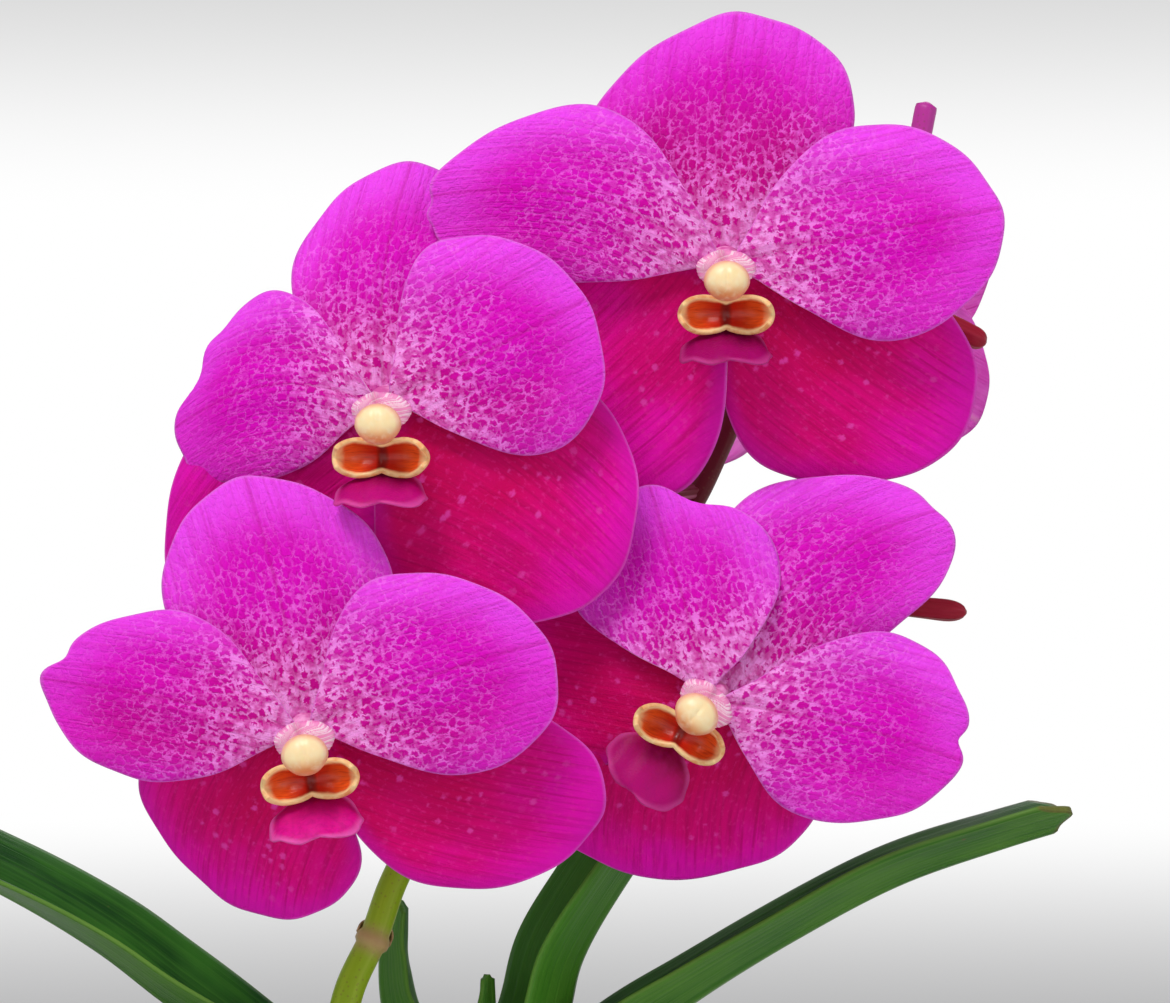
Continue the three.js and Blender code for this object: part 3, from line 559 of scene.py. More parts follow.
# Backs of the tepals: the pattern shows through as a pale lilac with branching veins.
f = back_skin = Finish("tepal_back", 0.5, 0.18, (0.1, 0.002, (1.0, 0.3, 0.7)))
streaks = f.lines("across", 22.0, "along", 1.8, 3.0, 0.6, 0.4)
f.base(f.mark("along"), 0.0, 0.8, (238, 180, 222), (214, 84, 190))
f.coat(streaks, 0.45, 0.7, (196, 40, 160), 0.6)
f.coat(f.grain(f.flat_map(), 30.0, 3.0), 0.45, 0.7, (226, 120, 208), 0.4)
f.coat(f.math("ABSOLUTE", f.mark("across")), 0.05, 0.0, (220, 150, 190), 0.5)
f.close(streaks, 0.6, 0.0006)
f = middle_skin = Finish("middle_skin", 0.5, 0.15)
f.base(f.grain(f.place(), 500.0), 0.35, 0.65, (214, 92, 168), (244, 160, 214))
f.close()
for bloom in BLOOMS:
    centre = Vector(bloom["centre"])
    face = facing(bloom)
    blades = []
    for kind, t in bloom["tepals"].items():
        claw, full = PETAL_SHAPE if kind.startswith("petal") else SEPAL_SHAPE
        shape = (t.get("claw", claw), t.get("full", full))
        front = sepal_skin if kind.startswith("lateral") else petal_skin
        blades.append(tepal(f"{bloom['name']}_{kind}", centre, face, t, shape, [front, back_skin]))
    # Receptacle: a short cone behind the tepals, its edges rounded.
    hub = begun(bpy.ops.mesh.primitive_cone_add, vertices=HUB_SIDES, radius1=HUB_R * MM,
                radius2=(HUB_R - HUB_TAPER) * MM, depth=(HUB_FRONT + HUB_BACK) * MM)
    apply(hub, "BEVEL", width=HUB_ROUND * MM, segments=3)
    basis = Matrix([(*v, 0) for v in face] + [(0, 0, 0, 1)]).transposed()
    basis.translation = (centre + face[2] * ((HUB_FRONT - HUB_BACK) / 2)) * MM
    hub.data.transform(basis)
    wear(hub, middle_skin)
    bloom_piece(bloom, "tepals", "petal", joined(blades + [hub]))


# Column: the fleshy pink hood in the middle of each bloom, grown on the receptacle. Its front is
# hollow, its rim rounded, and white lines run forward along its sides.
COLUMN_HALF_WIDE = 6.8
COLUMN_HALF_TALL = 4.2
COLUMN_FOOT = 3.1
COLUMN_LONG = 4
COLUMN_DROP = 1.2
f = column_skin = Finish("column_skin", 0.42, 0.4, (0.15, 0.002, (1.0, 0.4, 0.6)))
lines = f.lines("round", 9.0, "fore", 0.7)
f.base(f.mark("fore"), 0.1, 0.95, (224, 74, 164), (244, 146, 200))
f.coat(lines, 0.46, 0.6, (255, 222, 236), 0.9)
f.coat(f.mark("fore"), 1.0, 1.6, (232, 104, 120))
f.close(lines, 0.5, 0.0004)


def mouth_of(bloom):
    """Where the lip and column look: their axes, and a place in front of the bloom's middle."""
    centre, lip = Vector(bloom["centre"]), bloom["lip"]
    axes = facing(bloom, lip)

    def spot(right, up, forward):
        return centre + axes[0] * right + axes[1] * up + axes[2] * forward

    return axes, spot


def pick(piece, test):
    """Selects the faces that pass the test, in edit mode."""
    shape = bmesh.from_edit_mesh(piece.data)
    for face in shape.faces:
        face.select_set(test(face))
    shape.select_flush_mode()
    bmesh.update_edit_mesh(piece.data)


for bloom in BLOOMS:
    axes, spot = mouth_of(bloom)
    hood = begun(bpy.ops.mesh.primitive_cylinder_add, vertices=36, radius=1, depth=COLUMN_LONG)
    edit()
    pick(hood, lambda face: face.normal.z > 0.9)
    # The mouth: a rim, a wall that runs in, and a sunk floor.
    bpy.ops.mesh.inset(thickness=0.16)
    bpy.ops.mesh.inset(thickness=0.12, depth=-1.1)
    bpy.ops.mesh.inset(thickness=0.3, depth=-0.5)
    bpy.ops.mesh.select_all(action="DESELECT")
    pick(hood, lambda face: abs(face.normal.z) < 0.2 and len(face.verts) == 4)
    bpy.ops.mesh.subdivide(number_cuts=3)
    bpy.ops.object.mode_set(mode="OBJECT")
    fore_marks, round_marks = [], []
    for point in hood.data.vertices:
        x, y, z = point.co
        share, r, turn = z / COLUMN_LONG + 0.5, hypot(x, y), atan2(y, x)
        inner = r < 0.9
        fore_marks.append(1 + (1 - r) if inner else share)
        round_marks.append(turn)
        taper = 0.84 + 0.16 * share - 0.08 * sin(pi * min(max(share, 0), 1))
        flare = 1 + (0.035 * sin(7 * turn + 0.6) if share > 0.7 and not inner else 0)
        hooded = 0.9 * max(0, y) * share
        side, rise = x * COLUMN_HALF_WIDE * taper * flare, y * COLUMN_HALF_TALL * taper * flare
        point.co = spot(side, rise - COLUMN_DROP - 0.3 * z, COLUMN_FOOT + COLUMN_LONG / 2 + z + hooded) * MM
    keep(hood, fore=fore_marks, round=round_marks)
    wear(hood, column_skin)
    apply(hood, "SUBSURF", levels=2, render_levels=2)
    bloom_piece(bloom, "column", "column", hood)


# Anther cap: a cream bead that sits in the mouth of the column over the pollen, with a shallow
# groove down its middle and a blunt beak at its lower edge.
CAP_HALF = (4.5, 4, 3.2)
CAP_DROP = 3.9
GAP = 0.3
f = cap_skin = Finish("cap_skin", 0.34, 0.45, (0.2, 0.002, (1.0, 0.6, 0.3)))
f.base(f.mark("low"), 0.0, 0.85, (255, 226, 174), (240, 150, 84))
f.coat(f.mark("out"), 0.75, 1.0, (236, 150, 120), 0.7)
f.coat(f.grain(f.place(), 700.0), 0.45, 0.7, (255, 240, 206), 0.3)
f.close(f.grain(f.place(), 1500.0), 0.25, 0.0002)
for bloom in BLOOMS:
    axes, spot = mouth_of(bloom)
    bead = begun(bpy.ops.mesh.primitive_uv_sphere_add, segments=36, ring_count=24, radius=1)
    low_marks, out_marks = [], []
    for point in bead.data.vertices:
        x, y, z = point.co
        low_marks.append(max(0, -y))
        out_marks.append(hypot(x, y))
        groove = 0.1 * exp(-((x / 0.1) ** 2)) * (1 if z > 0 else 0) * eased((y + 0.7) / 0.5)
        beak = 0.18 * exp(-((x / 0.35) ** 2)) * eased((-y - 0.45) / 0.4) * eased(z + 0.4)
        x *= 1 - 0.12 * eased(-y)
        point.co = spot(x * CAP_HALF[0], (y + beak * 0.4) * CAP_HALF[1] - CAP_DROP,
                        COLUMN_FOOT + COLUMN_LONG + GAP + CAP_HALF[2] * (1 + z * (1 - groove) - 0.3 * beak)) * MM
    keep(bead, low=low_marks, out=out_marks)
    wear(bead, cap_skin)
    bloom_piece(bloom, "cap", "anther", bead)


# Side lobes of the lip: two waxy scoops that open towards the viewer, orange red inside with dark
# lines and a thick cream rim, joined at the dark throat.
SIDE_LOBE_WIDE = 9.3
SIDE_LOBE_TALL = 3.7
SIDE_LOBE_CURL = 3.4
SIDE_LOBE_THICK = 1.1
LIP_DROP = 10.2
LIP_FORWARD = 3
f = scoop_skin = Finish("scoop_skin", 0.3, 0.5, (0.12, 0.0015, (1.0, 0.4, 0.2)))
rays = f.lines("rise", 7.0, "out", 2.0, 3.0, 0.6, 0.4)
far_out = f.math("ABSOLUTE", f.mark("out"))
f.base(far_out, 0.1, 0.8, (196, 30, 8), (238, 96, 30))
f.coat(rays, 0.46, 0.68, (178, 22, 6), 0.6)
f.coat(far_out, 0.13, 0.02, (110, 8, 8), 0.85)
f.coat(f.patchy(f.mark("rim"), f.place(), 420.0, 0.2), 0.8, 0.97, (252, 208, 150))
f.close(rays, 0.4, 0.0003)
f = scoop_back = Finish("scoop_back", 0.38, 0.45)
f.base(f.grain(f.place(), 420.0, 3.0), 0.4, 0.7, (250, 212, 150), (236, 160, 96))
f.close()
for bloom in BLOOMS:
    axes, spot = mouth_of(bloom)
    drop = bloom["lip"].get("drop", LIP_DROP)
    askew = Matrix.Rotation(radians(bloom["lip"].get("askew", 0)), 2)
    scoops = begun(bpy.ops.mesh.primitive_grid_add, x_subdivisions=44, y_subdivisions=18, size=2)
    out_marks, rise_marks, rim_marks = [], [], []
    for point in scoops.data.vertices:
        out, rise, _ = point.co
        pinch = 0.8 if abs(out) > 0.5 else 0.5
        tall = SIDE_LOBE_TALL * sqrt(1 - pinch * (2 * abs(out) - 1) ** 2)
        curl = max(0, abs(out) - 0.35) / 0.65
        fore = SIDE_LOBE_CURL * (curl * curl + 0.75 * rise * rise)
        # The floor of each scoop is sunk a little, and a low ridge parts the two.
        fore -= 0.7 * (1 - rise * rise) * sin(pi * min(abs(out) * 1.2, 1))
        fore += 0.5 * exp(-((out / 0.07) ** 2)) * (1 - rise * rise)
        reach = out * (1 - 0.1 * rise * rise * abs(out))
        out_marks.append(out)
        rise_marks.append(rise)
        rim_marks.append(max(abs(out), abs(rise)))
        over = askew @ Vector((SIDE_LOBE_WIDE * reach, tall * rise))
        point.co = spot(over.x, over.y - drop, LIP_FORWARD + fore) * MM
    keep(scoops, out=out_marks, rise=rise_marks, rim=rim_marks)
    wear(scoops, scoop_skin, scoop_back)
    apply(scoops, "SOLIDIFY", thickness=SIDE_LOBE_THICK * MM, offset=0, material_offset=1,
          material_offset_rim=1)
    apply(scoops, "SUBSURF", levels=1, render_levels=1)
    bloom_piece(bloom, "side_lobes", "throat", scoops)


# Mid-lobe of the lip: a firm tongue that juts from under the scoops, dark magenta with two soft
# folds along it, a notch in its end and a pink edge. Each lip's tone value paints its shade: a lip
# in shadow is painted darker with a fainter pink edge, a lit one brighter.
LOBE_LONG = 14
LOBE_WIDE = 18
LOBE_SHAPE = (0.75, 0.6)
LOBE_NOTCH = (4, 1.3, 13)
LOBE_DROP = 2.2
LOBE_FORWARD = 0.6
f = tongue_skin = Finish("tongue_skin", 0.45, 0.1, (0.1, 0.0015))
blade, tone = f.flat_map(), f.mark("tone")
outward = f.band(f.mark("along"), 0.05, 0.8)
dark = f.blend(outward, (122, 0, 50), (160, 0, 98))
# Painted shade and light: each lip's tone value blends from the dark of a shaded lip to the brighter colour of a lit
# one.
f.colour = f.blend(tone, dark, f.blend(outward, (178, 0, 76), (218, 14, 140)))
f.coat(f.grain(blade, 90.0, 3.0), 0.4, 0.7, (170, 6, 108), 0.4)
f.spot(f.times(f.band(f.mark("rim"), 0.82, 0.99), f.band(tone, 0.0, 1.0, 0.35, 0.9)), (230, 90, 176))
f.close(f.grain(blade, 240.0), 0.4, 0.0003)
for bloom in BLOOMS:
    axes, spot = mouth_of(bloom)
    lip = bloom["lip"]
    lobe = sized(180, LOBE_LONG, LOBE_WIDE, 0, 0, lip["lean"], 0, start=0, crown=2.6, arch=1.5, wave=0,
                 tip=0.0, rough=0.12, nicks=[LOBE_NOTCH])
    foot = spot(0, -lip.get("drop", LIP_DROP) - LOBE_DROP, LOBE_FORWARD)
    tongue = tepal(bloom["name"] + "_mid_lobe", foot, axes, lobe, LOBE_SHAPE, [tongue_skin, tongue_skin], 28, 28)
    keep(tongue, tone=lip.get("tone", 0.5))
    bloom_piece(bloom, "mid_lobe", "lip", tongue)


# Flower stalks: each bloom's own ribbed stalk, crimson where it leaves the spike and paler towards
# the flower, slightly twisted so that the bloom faces out.
class Track:
    """A smooth line through the given points, followed at an even pace from 0 to 1."""

    def __init__(self, points):
        held = [Vector(p) for p in points]
        self.fine = []
        for i in range(len(held) - 1):
            p1, p2 = held[i], held[i + 1]
            p0 = held[i - 1] if i else 2 * p1 - p2
            p3 = held[i + 2] if i + 2 < len(held) else 2 * p2 - p1
            d0, d1, d2 = [sqrt((b - a).length) for a, b in ((p0, p1), (p1, p2), (p2, p3))]
            t1 = ((p1 - p0) / d0 - (p2 - p0) / (d0 + d1) + (p2 - p1) / d1) * d1
            t2 = ((p2 - p1) / d1 - (p3 - p1) / (d1 + d2) + (p3 - p2) / d2) * d1
            for k in range(40):
                t = k / 40
                bow = (3 * (p2 - p1) - 2 * t1 - t2) * t ** 2 + (2 * (p1 - p2) + t1 + t2) * t ** 3
                self.fine.append(p1 + t1 * t + bow)
        self.fine.append(held[-1])
        self.gone = [0.0]
        for a, b in zip(self.fine, self.fine[1:]):
            self.gone.append(self.gone[-1] + (b - a).length)
        self.long = self.gone[-1]

    def at(self, share):
        """The point there, and the way the line runs."""
        want = min(max(share, 0), 1) * self.long
        high = min(bisect.bisect_right(self.gone, want), len(self.gone) - 1)
        low = high - 1
        part = (want - self.gone[low]) / max(self.gone[high] - self.gone[low], 1e-9)
        way = (self.fine[min(high + 1, len(self.fine) - 1)] - self.fine[max(low - 1, 0)]).normalized()
        return self.fine[low].lerp(self.fine[high], part), way


def stalk(track, radius, finish, sides, steps):
    """A round stalk: a grid rolled round the line, with radius(share, turn), joined and closed."""
    tube = begun(bpy.ops.mesh.primitive_grid_add, x_subdivisions=sides, y_subdivisions=steps, size=2)
    frames = []
    _, way = track.at(0)
    hand = way.orthogonal().normalized()
    for i in range(steps + 1):
        point, new_way = track.at(i / steps)
        hand = (way.rotation_difference(new_way) @ hand).normalized()
        way = new_way
        frames.append((point, hand.copy(), way.cross(hand).normalized()))
    straight, along = [], []
    for point in tube.data.vertices:
        row = round((point.co.y + 1) / 2 * steps)
        turn = pi * (point.co.x + 1)
        centre, a, b = frames[row]
        r = radius(row / steps, turn)
        straight += [r * cos(turn) * MM, r * sin(turn) * MM, row / steps * track.long * MM]
        along.append(row / steps)
        point.co = (centre + a * (r * cos(turn)) + b * (r * sin(turn))) * MM
    tube.data.attributes.new("straight", "FLOAT_VECTOR", "POINT").data.foreach_set("vector", straight)
    keep(tube, along=along)
    edit()
    bpy.ops.mesh.remove_doubles(threshold=0.000002)
    bpy.ops.mesh.fill_holes(sides=0)
    bpy.ops.mesh.select_all(action="SELECT")
    bpy.ops.mesh.normals_make_consistent(inside=False)
    bpy.ops.object.mode_set(mode="OBJECT")
    wear(tube, finish)
    return tube


def between(values, share):
    """The value there, between evenly spaced ones."""
    place = min(max(share, 0), 1) * (len(values) - 1)
    i = min(int(place), len(values) - 2)
    return values[i] + (values[i + 1] - values[i]) * (place - i)


def lengthwise(f, stretch):
    """Fine fibres that run along a stalk."""
    straight = f.node("Attribute", {}, attribute_name="straight").outputs["Vector"]
    return f.grain(f.place((1, 1, stretch), straight), 1100.0, 3.0)


def ribs(turn):
    """The six low ribs of a flower stalk."""
    return 0.95 + 0.07 * cos(6 * turn)


def pedicel_radius(share, turn):
    return between(PEDICEL_RADII, share) * ribs(turn + 1.6 * share)


PEDICEL_RADII = [1.7, 1.7, 2, 2.5, 2.9]
PEDICEL_STRAIGHT = 6
f = pedicel_skin = Finish("pedicel_skin", 0.45, 0.4)
fibres = lengthwise(f, 0.06)
f.base(f.mark("along"), 0.1, 0.95, (122, 12, 44), (204, 92, 150))
f.coat(fibres, 0.42, 0.7, (220, 140, 170), 0.6)
f.close(fibres, 0.5, 0.0003)
for bloom in BLOOMS:
    centre = Vector(bloom["centre"])
    forward = facing(bloom)[2]
    ends = [tuple(centre - forward * back) for back in (HUB_BACK + PEDICEL_STRAIGHT, HUB_BACK + GAP)]
    track = Track([*bloom["pedicel"], *ends])
    bloom_piece(bloom, "pedicel", "pedicel", stalk(track, pedicel_radius, pedicel_skin, 36, 48))


# Spike: one green stalk from the leaf bases up to its plum-coloured tip, with two tan joint rings
# that carry dry bracts, and two crimson stalks whose blooms have dropped.
SPIKE_PATH = [
    (0.5, -8.6, 206), (-5, -14, 217), (-16, -19, 240), (-24.5, -20, 276), (-21.4, -17, 314.5),
    (-15.8, -14, 327.6), (-11.7, -12, 339), (3.3, -10, 365.7), (25.6, -8, 392), (45.9, -6, 411.2),
    (54.5, -4, 427.5), (64.4, -2, 452.1), (80.9, 0, 476.7), (93.5, 2, 485.5), (97, 3, 497),
]
SPIKE_RADII = [2.7, 3.2, 3.3, 3.3, 3.2, 3, 2.8, 2.8, 2.7, 2.6, 2.5, 2.4, 2.3, 2.2, 2.3]
SPIKE_RINGS = [0.15, 0.38]
RING_R = 3.1
RING_SWELL_R = 3.6
RING_HALF = 0.011
RING_CREST = 0.0035
SPIKE_TIP = 0.9965
BARE_TIP = 0.91
BARE_RADII = [1.7, 1.9, 2.4]
BRACT_R = 3.55
BRACT_LONG = 4.8
BRACT_THICK = 0.4
BARE_STALKS = [
    [(73, -1, 465), (86, -5, 458), (99.5, -8, 451.6), (108, -8, 447)],
    [(43, -6, 409), (62, -8, 398), (86, -9, 394.5), (104, -9, 392.5)],
]
f = spike_skin = Finish("spike_skin", 0.45, 0.3)
s, fibres = f.mark("along"), lengthwise(f, 0.05)
f.base(s, 0.1, 0.36, (92, 138, 36), (138, 168, 18))
f.coat(fibres, 0.4, 0.7, (160, 184, 46), 0.4)
# Among the blooms the green turns to a dull crimson, and then to the plum of the tip.
f.coat(s, 0.56, 0.68, (104, 20, 30))
f.coat(s, 0.84, 0.93, (186, 48, 154))
f.coat(f.cells(f.place(), 900.0).outputs["Distance"], 0.3, 0.12, (120, 70, 50), 0.35)
f.spot(f.mark("joint"), (176, 146, 96))
f.close(fibres, 0.5, 0.0003)
f = crimson_stalk = Finish("crimson_stalk", 0.45, 0.25)
fibres = lengthwise(f, 0.06)
f.colour = f.blend(f.mark("along"), (116, 18, 34), (150, 8, 40))
f.coat(fibres, 0.42, 0.7, (176, 36, 66), 0.4)
f.close(fibres, 0.5, 0.0003)
f = dry_bract = Finish("dry_bract", 0.75)
f.base(f.grain(f.place((1, 1, 0.2)), 900.0, 3.0), 0.35, 0.7, (146, 118, 74), (196, 168, 120))
f.close()
spike_track = Track(SPIKE_PATH)


def closed(share, start, power=2, least=0.02):
    """How a stalk's radius closes to a rounded end, from start to 1."""
    return sqrt(max(1 - max(0, (share - start) / (1 - start)) ** power, least))


def spike_radius(share, turn):
    """The stalk's own taper, swollen at each ring, and closed in a worn tip."""
    r = between(SPIKE_RADII, share) * (1 + 0.015 * sin(3 * turn + 20 * share))
    for ring in SPIKE_RINGS:
        away = abs(share - ring)
        if away < RING_HALF:
            r = max(r, (RING_SWELL_R if away < RING_CREST else RING_R) - away / RING_HALF * 0.5)
    return r * closed(share, SPIKE_TIP, 2, 0.05)


def bare_radius(share, turn):
    return between(BARE_RADII, share) * ribs(turn + 1.2 * share) * closed(share, BARE_TIP, 2.6)


main_stalk = stalk(spike_track, spike_radius, spike_skin, 28, 420)
keep(main_stalk, joint=[max(eased(1 - abs(place.value - ring) / 0.013) for ring in SPIKE_RINGS)
                        for place in main_stalk.data.attributes["along"].data])
pieces = [main_stalk]
for path in BARE_STALKS:
    pieces.append(stalk(Track(path), bare_radius, crimson_stalk, 30, 100))
for ring in SPIKE_RINGS:
    # The bract: a short dry scale wrapped half round the stalk above its ring.
    point, way = spike_track.at(ring)
    hand = way.cross(Vector((0, 1, 0))).normalized()
    front = hand.cross(way).normalized()
    bract = begun(bpy.ops.mesh.primitive_grid_add, x_subdivisions=16, y_subdivisions=8, size=2)
    for corner in bract.data.vertices:
        x, y, _ = corner.co
        share = (y + 1) / 2
        turn = x * 1.7 * (1 - 0.85 * share ** 1.6)
        r = BRACT_R + 0.12 * share + 0.1 * sin(7 * x)
        corner.co = (point + way * (BRACT_LONG * share + 0.6) + front * (r * cos(turn))
                     + hand * (r * sin(turn))) * MM
    wear(bract, dry_bract)
    apply(bract, "SOLIDIFY", thickness=BRACT_THICK * MM, offset=0)
    pieces.append(bract)
spike = joined(pieces)
spike.name = "flower_spike"
fitted(spike, "spike", "spike")


# Leaves: leathery straps folded along a keel, clasping the stem below and opening into a channel
# that arches over. The tip is bitten off square, as on the real plant.
LEAF_HALF = 15
LEAF_THICK = 1.5
LEAF_KEEL = 1.25
LEAF_OPEN_BASE = 36
LEAF_OPEN_TIP = 62
LEAF_TIP_CUT = [0.035, 0, 0.03, 0.012, 0.045]
# fresh paints a brighter green over a leaf's face and leaves off the dry line at its tip: partly the paler green of
# young leaves, and on upper_right painted light.
LEAVES = [
    {"name": "spear", "side": 1, "half": 7, "open": 0.3, "drift": -2, "fresh": 0.7,
     "path": [(4.4, 288), (6, 297), (7.5, 306), (7.2, 318.5)]},
    {"name": "young_left", "side": -1, "half": 12.5, "open": 0.4, "drift": 4, "fresh": 0.5,
     "path": [(7.5, 287), (11.5, 300), (14.6, 312), (14.8, 323), (12.5, 333.5)]},
    {"name": "upper_right", "side": 1, "half": 17, "open": 0.4, "drift": 15, "roll": 12, "fresh": 1,
     "path": [(10.1, 276), (14, 292), (22, 308), (25.4, 321), (34.6, 337), (48, 355), (60, 371), (70, 383)]},
    {"name": "arch_left", "side": -1, "roll": 14,
     "path": [(10.1, 262), (14, 274), (25, 287), (40, 299), (60, 313.5), (73, 323.5), (93, 335.5),
              (125, 350), (160, 357), (195, 355), (224, 345)]},
    {"name": "arch_right", "side": 1, "open": 0.65, "drift": -4,
     "path": [(10.1, 248), (11.5, 262), (17, 280), (30, 299), (50, 314), (71, 327), (91, 337.5),
              (112, 345), (126.5, 349.5)]},
    {"name": "mid_left", "side": -1, "drift": 14, "roll": 6,
     "path": [(10.1, 234), (10.5, 246), (13, 257), (24, 271), (45, 282), (75, 292), (130, 303),
              (170, 298), (205, 280), (230, 257)]},
    {"name": "mid_right", "side": 1, "drift": 12,
     "path": [(10.1, 220), (10.5, 232), (13, 243), (24, 257), (48, 269), (80, 279), (120, 286),
              (160, 284), (195, 270), (222, 248)]},
    {"name": "low_left", "side": -1, "drift": -12,
     "path": [(10.1, 206), (10.5, 218), (13, 229), (26, 242), (52, 252), (88, 259), (126, 258),
              (162, 247), (192, 226), (212, 200)]},
    {"name": "low_right", "side": 1, "drift": -14,
     "path": [(10.1, 192), (10.5, 204), (13, 215), (26, 228), (54, 238), (92, 245), (132, 243),
              (168, 228), (196, 204), (214, 176)]},
    {"name": "bottom_left", "side": -1, "drift": 8,
     "path": [(10.1, 178), (10.5, 190), (13, 200), (30, 212), (60, 219), (98, 220), (136, 209),
              (168, 188), (190, 160), (203, 130)]},
    {"name": "bottom_right", "side": 1, "drift": 10,
     "path": [(10.1, 164), (10.5, 176), (13.5, 186), (32, 197), (64, 202), (102, 201), (138, 189),
              (166, 166), (186, 138)]},
]


def strap_finish(name, dark, light, vein):
    f = Finish(name, 0.42, 0.2)
    blade = f.flat_map()
    edge, s, fresh_and_painted_light = f.math("ABSOLUTE", f.mark("across")), f.mark("along"), f.mark("fresh")
    lanes = f.lines("across", 16.0, "along", 1.6, 4.0, 0.65, 0.1)
    clouds = f.grain(f.place((1, 0.35, 1), blade), 9.0, 3.0)
    f.base(clouds, 0.35, 0.65, dark, light)
    f.coat(lanes, 0.4, 0.7, vein, 0.5)
    f.coat(edge, 0.07, 0.0, vein, 0.6)
    f.coat(edge, 0.965, 1.0, (110, 140, 60), 0.35)
    # Pale sheath at the foot, a dry brown line where the tip was bitten, and a few small scars.
    f.coat(s, 0.1, 0.0, (150, 168, 96), 0.55)
    # Painted light, partly the paler green of young leaves: a brighter green over the face of leaves marked fresh.
    f.spot(f.times(fresh_and_painted_light, 0.4), (78, 148, 36))
    f.spot(f.times(f.band(s, 0.993, 1.0, 0.0, 0.7), f.band(fresh_and_painted_light, 0.6, 0.0)), (112, 96, 48))
    scars = f.cells(blade, 30.0)
    chosen = f.node("SeparateColor", {"Color": scars.outputs["Color"]}).outputs[0]
    f.spot(f.times(f.band(scars.outputs["Distance"], 0.16, 0.08), f.band(chosen, 0.9, 0.93)), (118, 96, 58))
    f.feed(f.surface, {"Roughness": f.band(clouds, 0.3, 0.7, 0.36, 0.5)})
    f.close(lanes, 0.45, 0.0006)
    return f


leaf_face = strap_finish("leaf_face", (10, 62, 12), (40, 98, 20), (58, 116, 32))
leaf_under = strap_finish("leaf_under", (52, 108, 28), (78, 130, 42), (104, 152, 60))
for leaf in LEAVES:
    reach, side, half = leaf["path"][-1][0], leaf["side"], leaf.get("half", LEAF_HALF)
    keel = Track([(side * out, leaf.get("drift", 0) * (out / reach) ** 2, z) for out, z in leaf["path"]])
    blade = begun(bpy.ops.mesh.primitive_grid_add, x_subdivisions=28, y_subdivisions=110, size=2)
    places, across, along, upward = [], [], [], []
    for point in blade.data.vertices:
        v, share = point.co.x, (point.co.y + 1) / 2
        torn = 0.006 * noise.noise(Vector((v * 5, reach, 0.5)))
        s = share * (1 - between(LEAF_TIP_CUT, (v + 1) / 2) - torn)
        centre, way = keel.at(s)
        roll = radians(leaf.get("roll", 0)) * eased((s - 0.06) / 0.25)
        flat = (Vector((0, 1, 0)) - way * way.y).normalized()
        up = way.cross(flat) * side
        tip_over = Matrix.Rotation(side * roll, 3, way)
        flat, up = tip_over @ flat, tip_over @ up
        opened = eased((s - 0.08) / 0.55) * leaf.get("open", 1)
        spread = LEAF_OPEN_BASE + (LEAF_OPEN_TIP - LEAF_OPEN_BASE) * opened
        bend = radians(spread * (1 + 0.12 * abs(v)))
        narrowed = (1 - 0.22 * s ** 4) * (1 - 0.6 * s * s if half < LEAF_HALF else 1)
        width = half * (0.76 + 0.24 * eased(s / 0.3)) * narrowed
        width += 0.25 * noise.noise(Vector((s * 9, reach, side))) * abs(v)
        fold = sqrt(v * v + 0.0025) - 0.05
        ripple = 0.5 * v * v * noise.noise(Vector((s * 6, reach, 3 * v + side)))
        wing = flat * (sin(bend) * v * width) + up * (cos(bend) * fold * width + ripple)
        point.co = (centre + wing) * MM
        upward.append(up)
        across.append(v)
        along.append(share)
        places.append((v * width / MAP_UNIT, s * keel.long / MAP_UNIT))
    blade.data.update()
    lit = sum(face.normal.dot(upward[face.vertices[0]]) for face in blade.data.polygons)
    keep_map(blade, places)
    keep(blade, across=across, along=along, fresh=leaf.get("fresh", 0))
    if lit < 0:
        edit()
        bpy.ops.mesh.flip_normals()
        bpy.ops.object.mode_set(mode="OBJECT")
    shares = [(1 - 0.5 * abs(v) ** 6) * (LEAF_KEEL if abs(v) < 0.08 else 1) / LEAF_KEEL for v in across]
    thicken(blade, LEAF_KEEL * LEAF_THICK, shares, [leaf_face, leaf_under])
    blade.name = leaf["name"] + "_leaf"
    fitted(blade, "leaf", "leaf_" + leaf["name"])


# Stem: green between the leaves, and below them wrapped in the dry brown sheaths of leaves that
# have dropped, each frayed at its upper edge.
STEM_R = 4.7
STEM_FOOT = 60
STEM_TOP = 284
SHEATH_R = 6.6
SHEATH_TOP = 158
SHEATH_PITCH = 14
f = stem_skin = Finish("stem_skin", 0.7)
fibres = lengthwise(f, 0.03)
f.base(fibres, 0.35, 0.68, (104, 82, 52), (176, 152, 108))
f.coat(f.grain(f.place(), 160.0, 3.0), 0.45, 0.7, (84, 60, 40), 0.6)
green = f.blend(f.band(fibres, 0.35, 0.7), (96, 124, 54), (136, 156, 84))
f.coat(f.node("SeparateXYZ", {0: f.place()}).outputs["Z"], 0.157, 0.163, green)
f.close(fibres, 0.8, 0.0006)


def stem_radius(share, turn):
    """The green stem above, and below it the sheaths, each wider and ridged at its upper edge."""
    z = STEM_FOOT + share * (STEM_TOP - STEM_FOOT)
    if z > SHEATH_TOP + 2:
        return STEM_R * sqrt(max(1 - max(0, (z - STEM_TOP + 5) / 5) ** 2, 0.04))
    frayed = z + 1.6 * noise.noise(Vector((cos(turn) * 2.2, sin(turn) * 2.2, z // SHEATH_PITCH)))
    up_sheath = ((frayed - STEM_FOOT) / SHEATH_PITCH) % 1
    ridge = 0.14 * cos(17 * turn + 3 * (z // SHEATH_PITCH))
    return SHEATH_R - 1 + up_sheath ** 1.5 + ridge * up_sheath


upright = Track([(0, 0, STEM_FOOT), (0, 0, 150), (0, 0, STEM_TOP)])
stem = stalk(upright, stem_radius, stem_skin, 60, 448)
stem.name = "upright_stem"
fitted(stem, "stem", "stem")


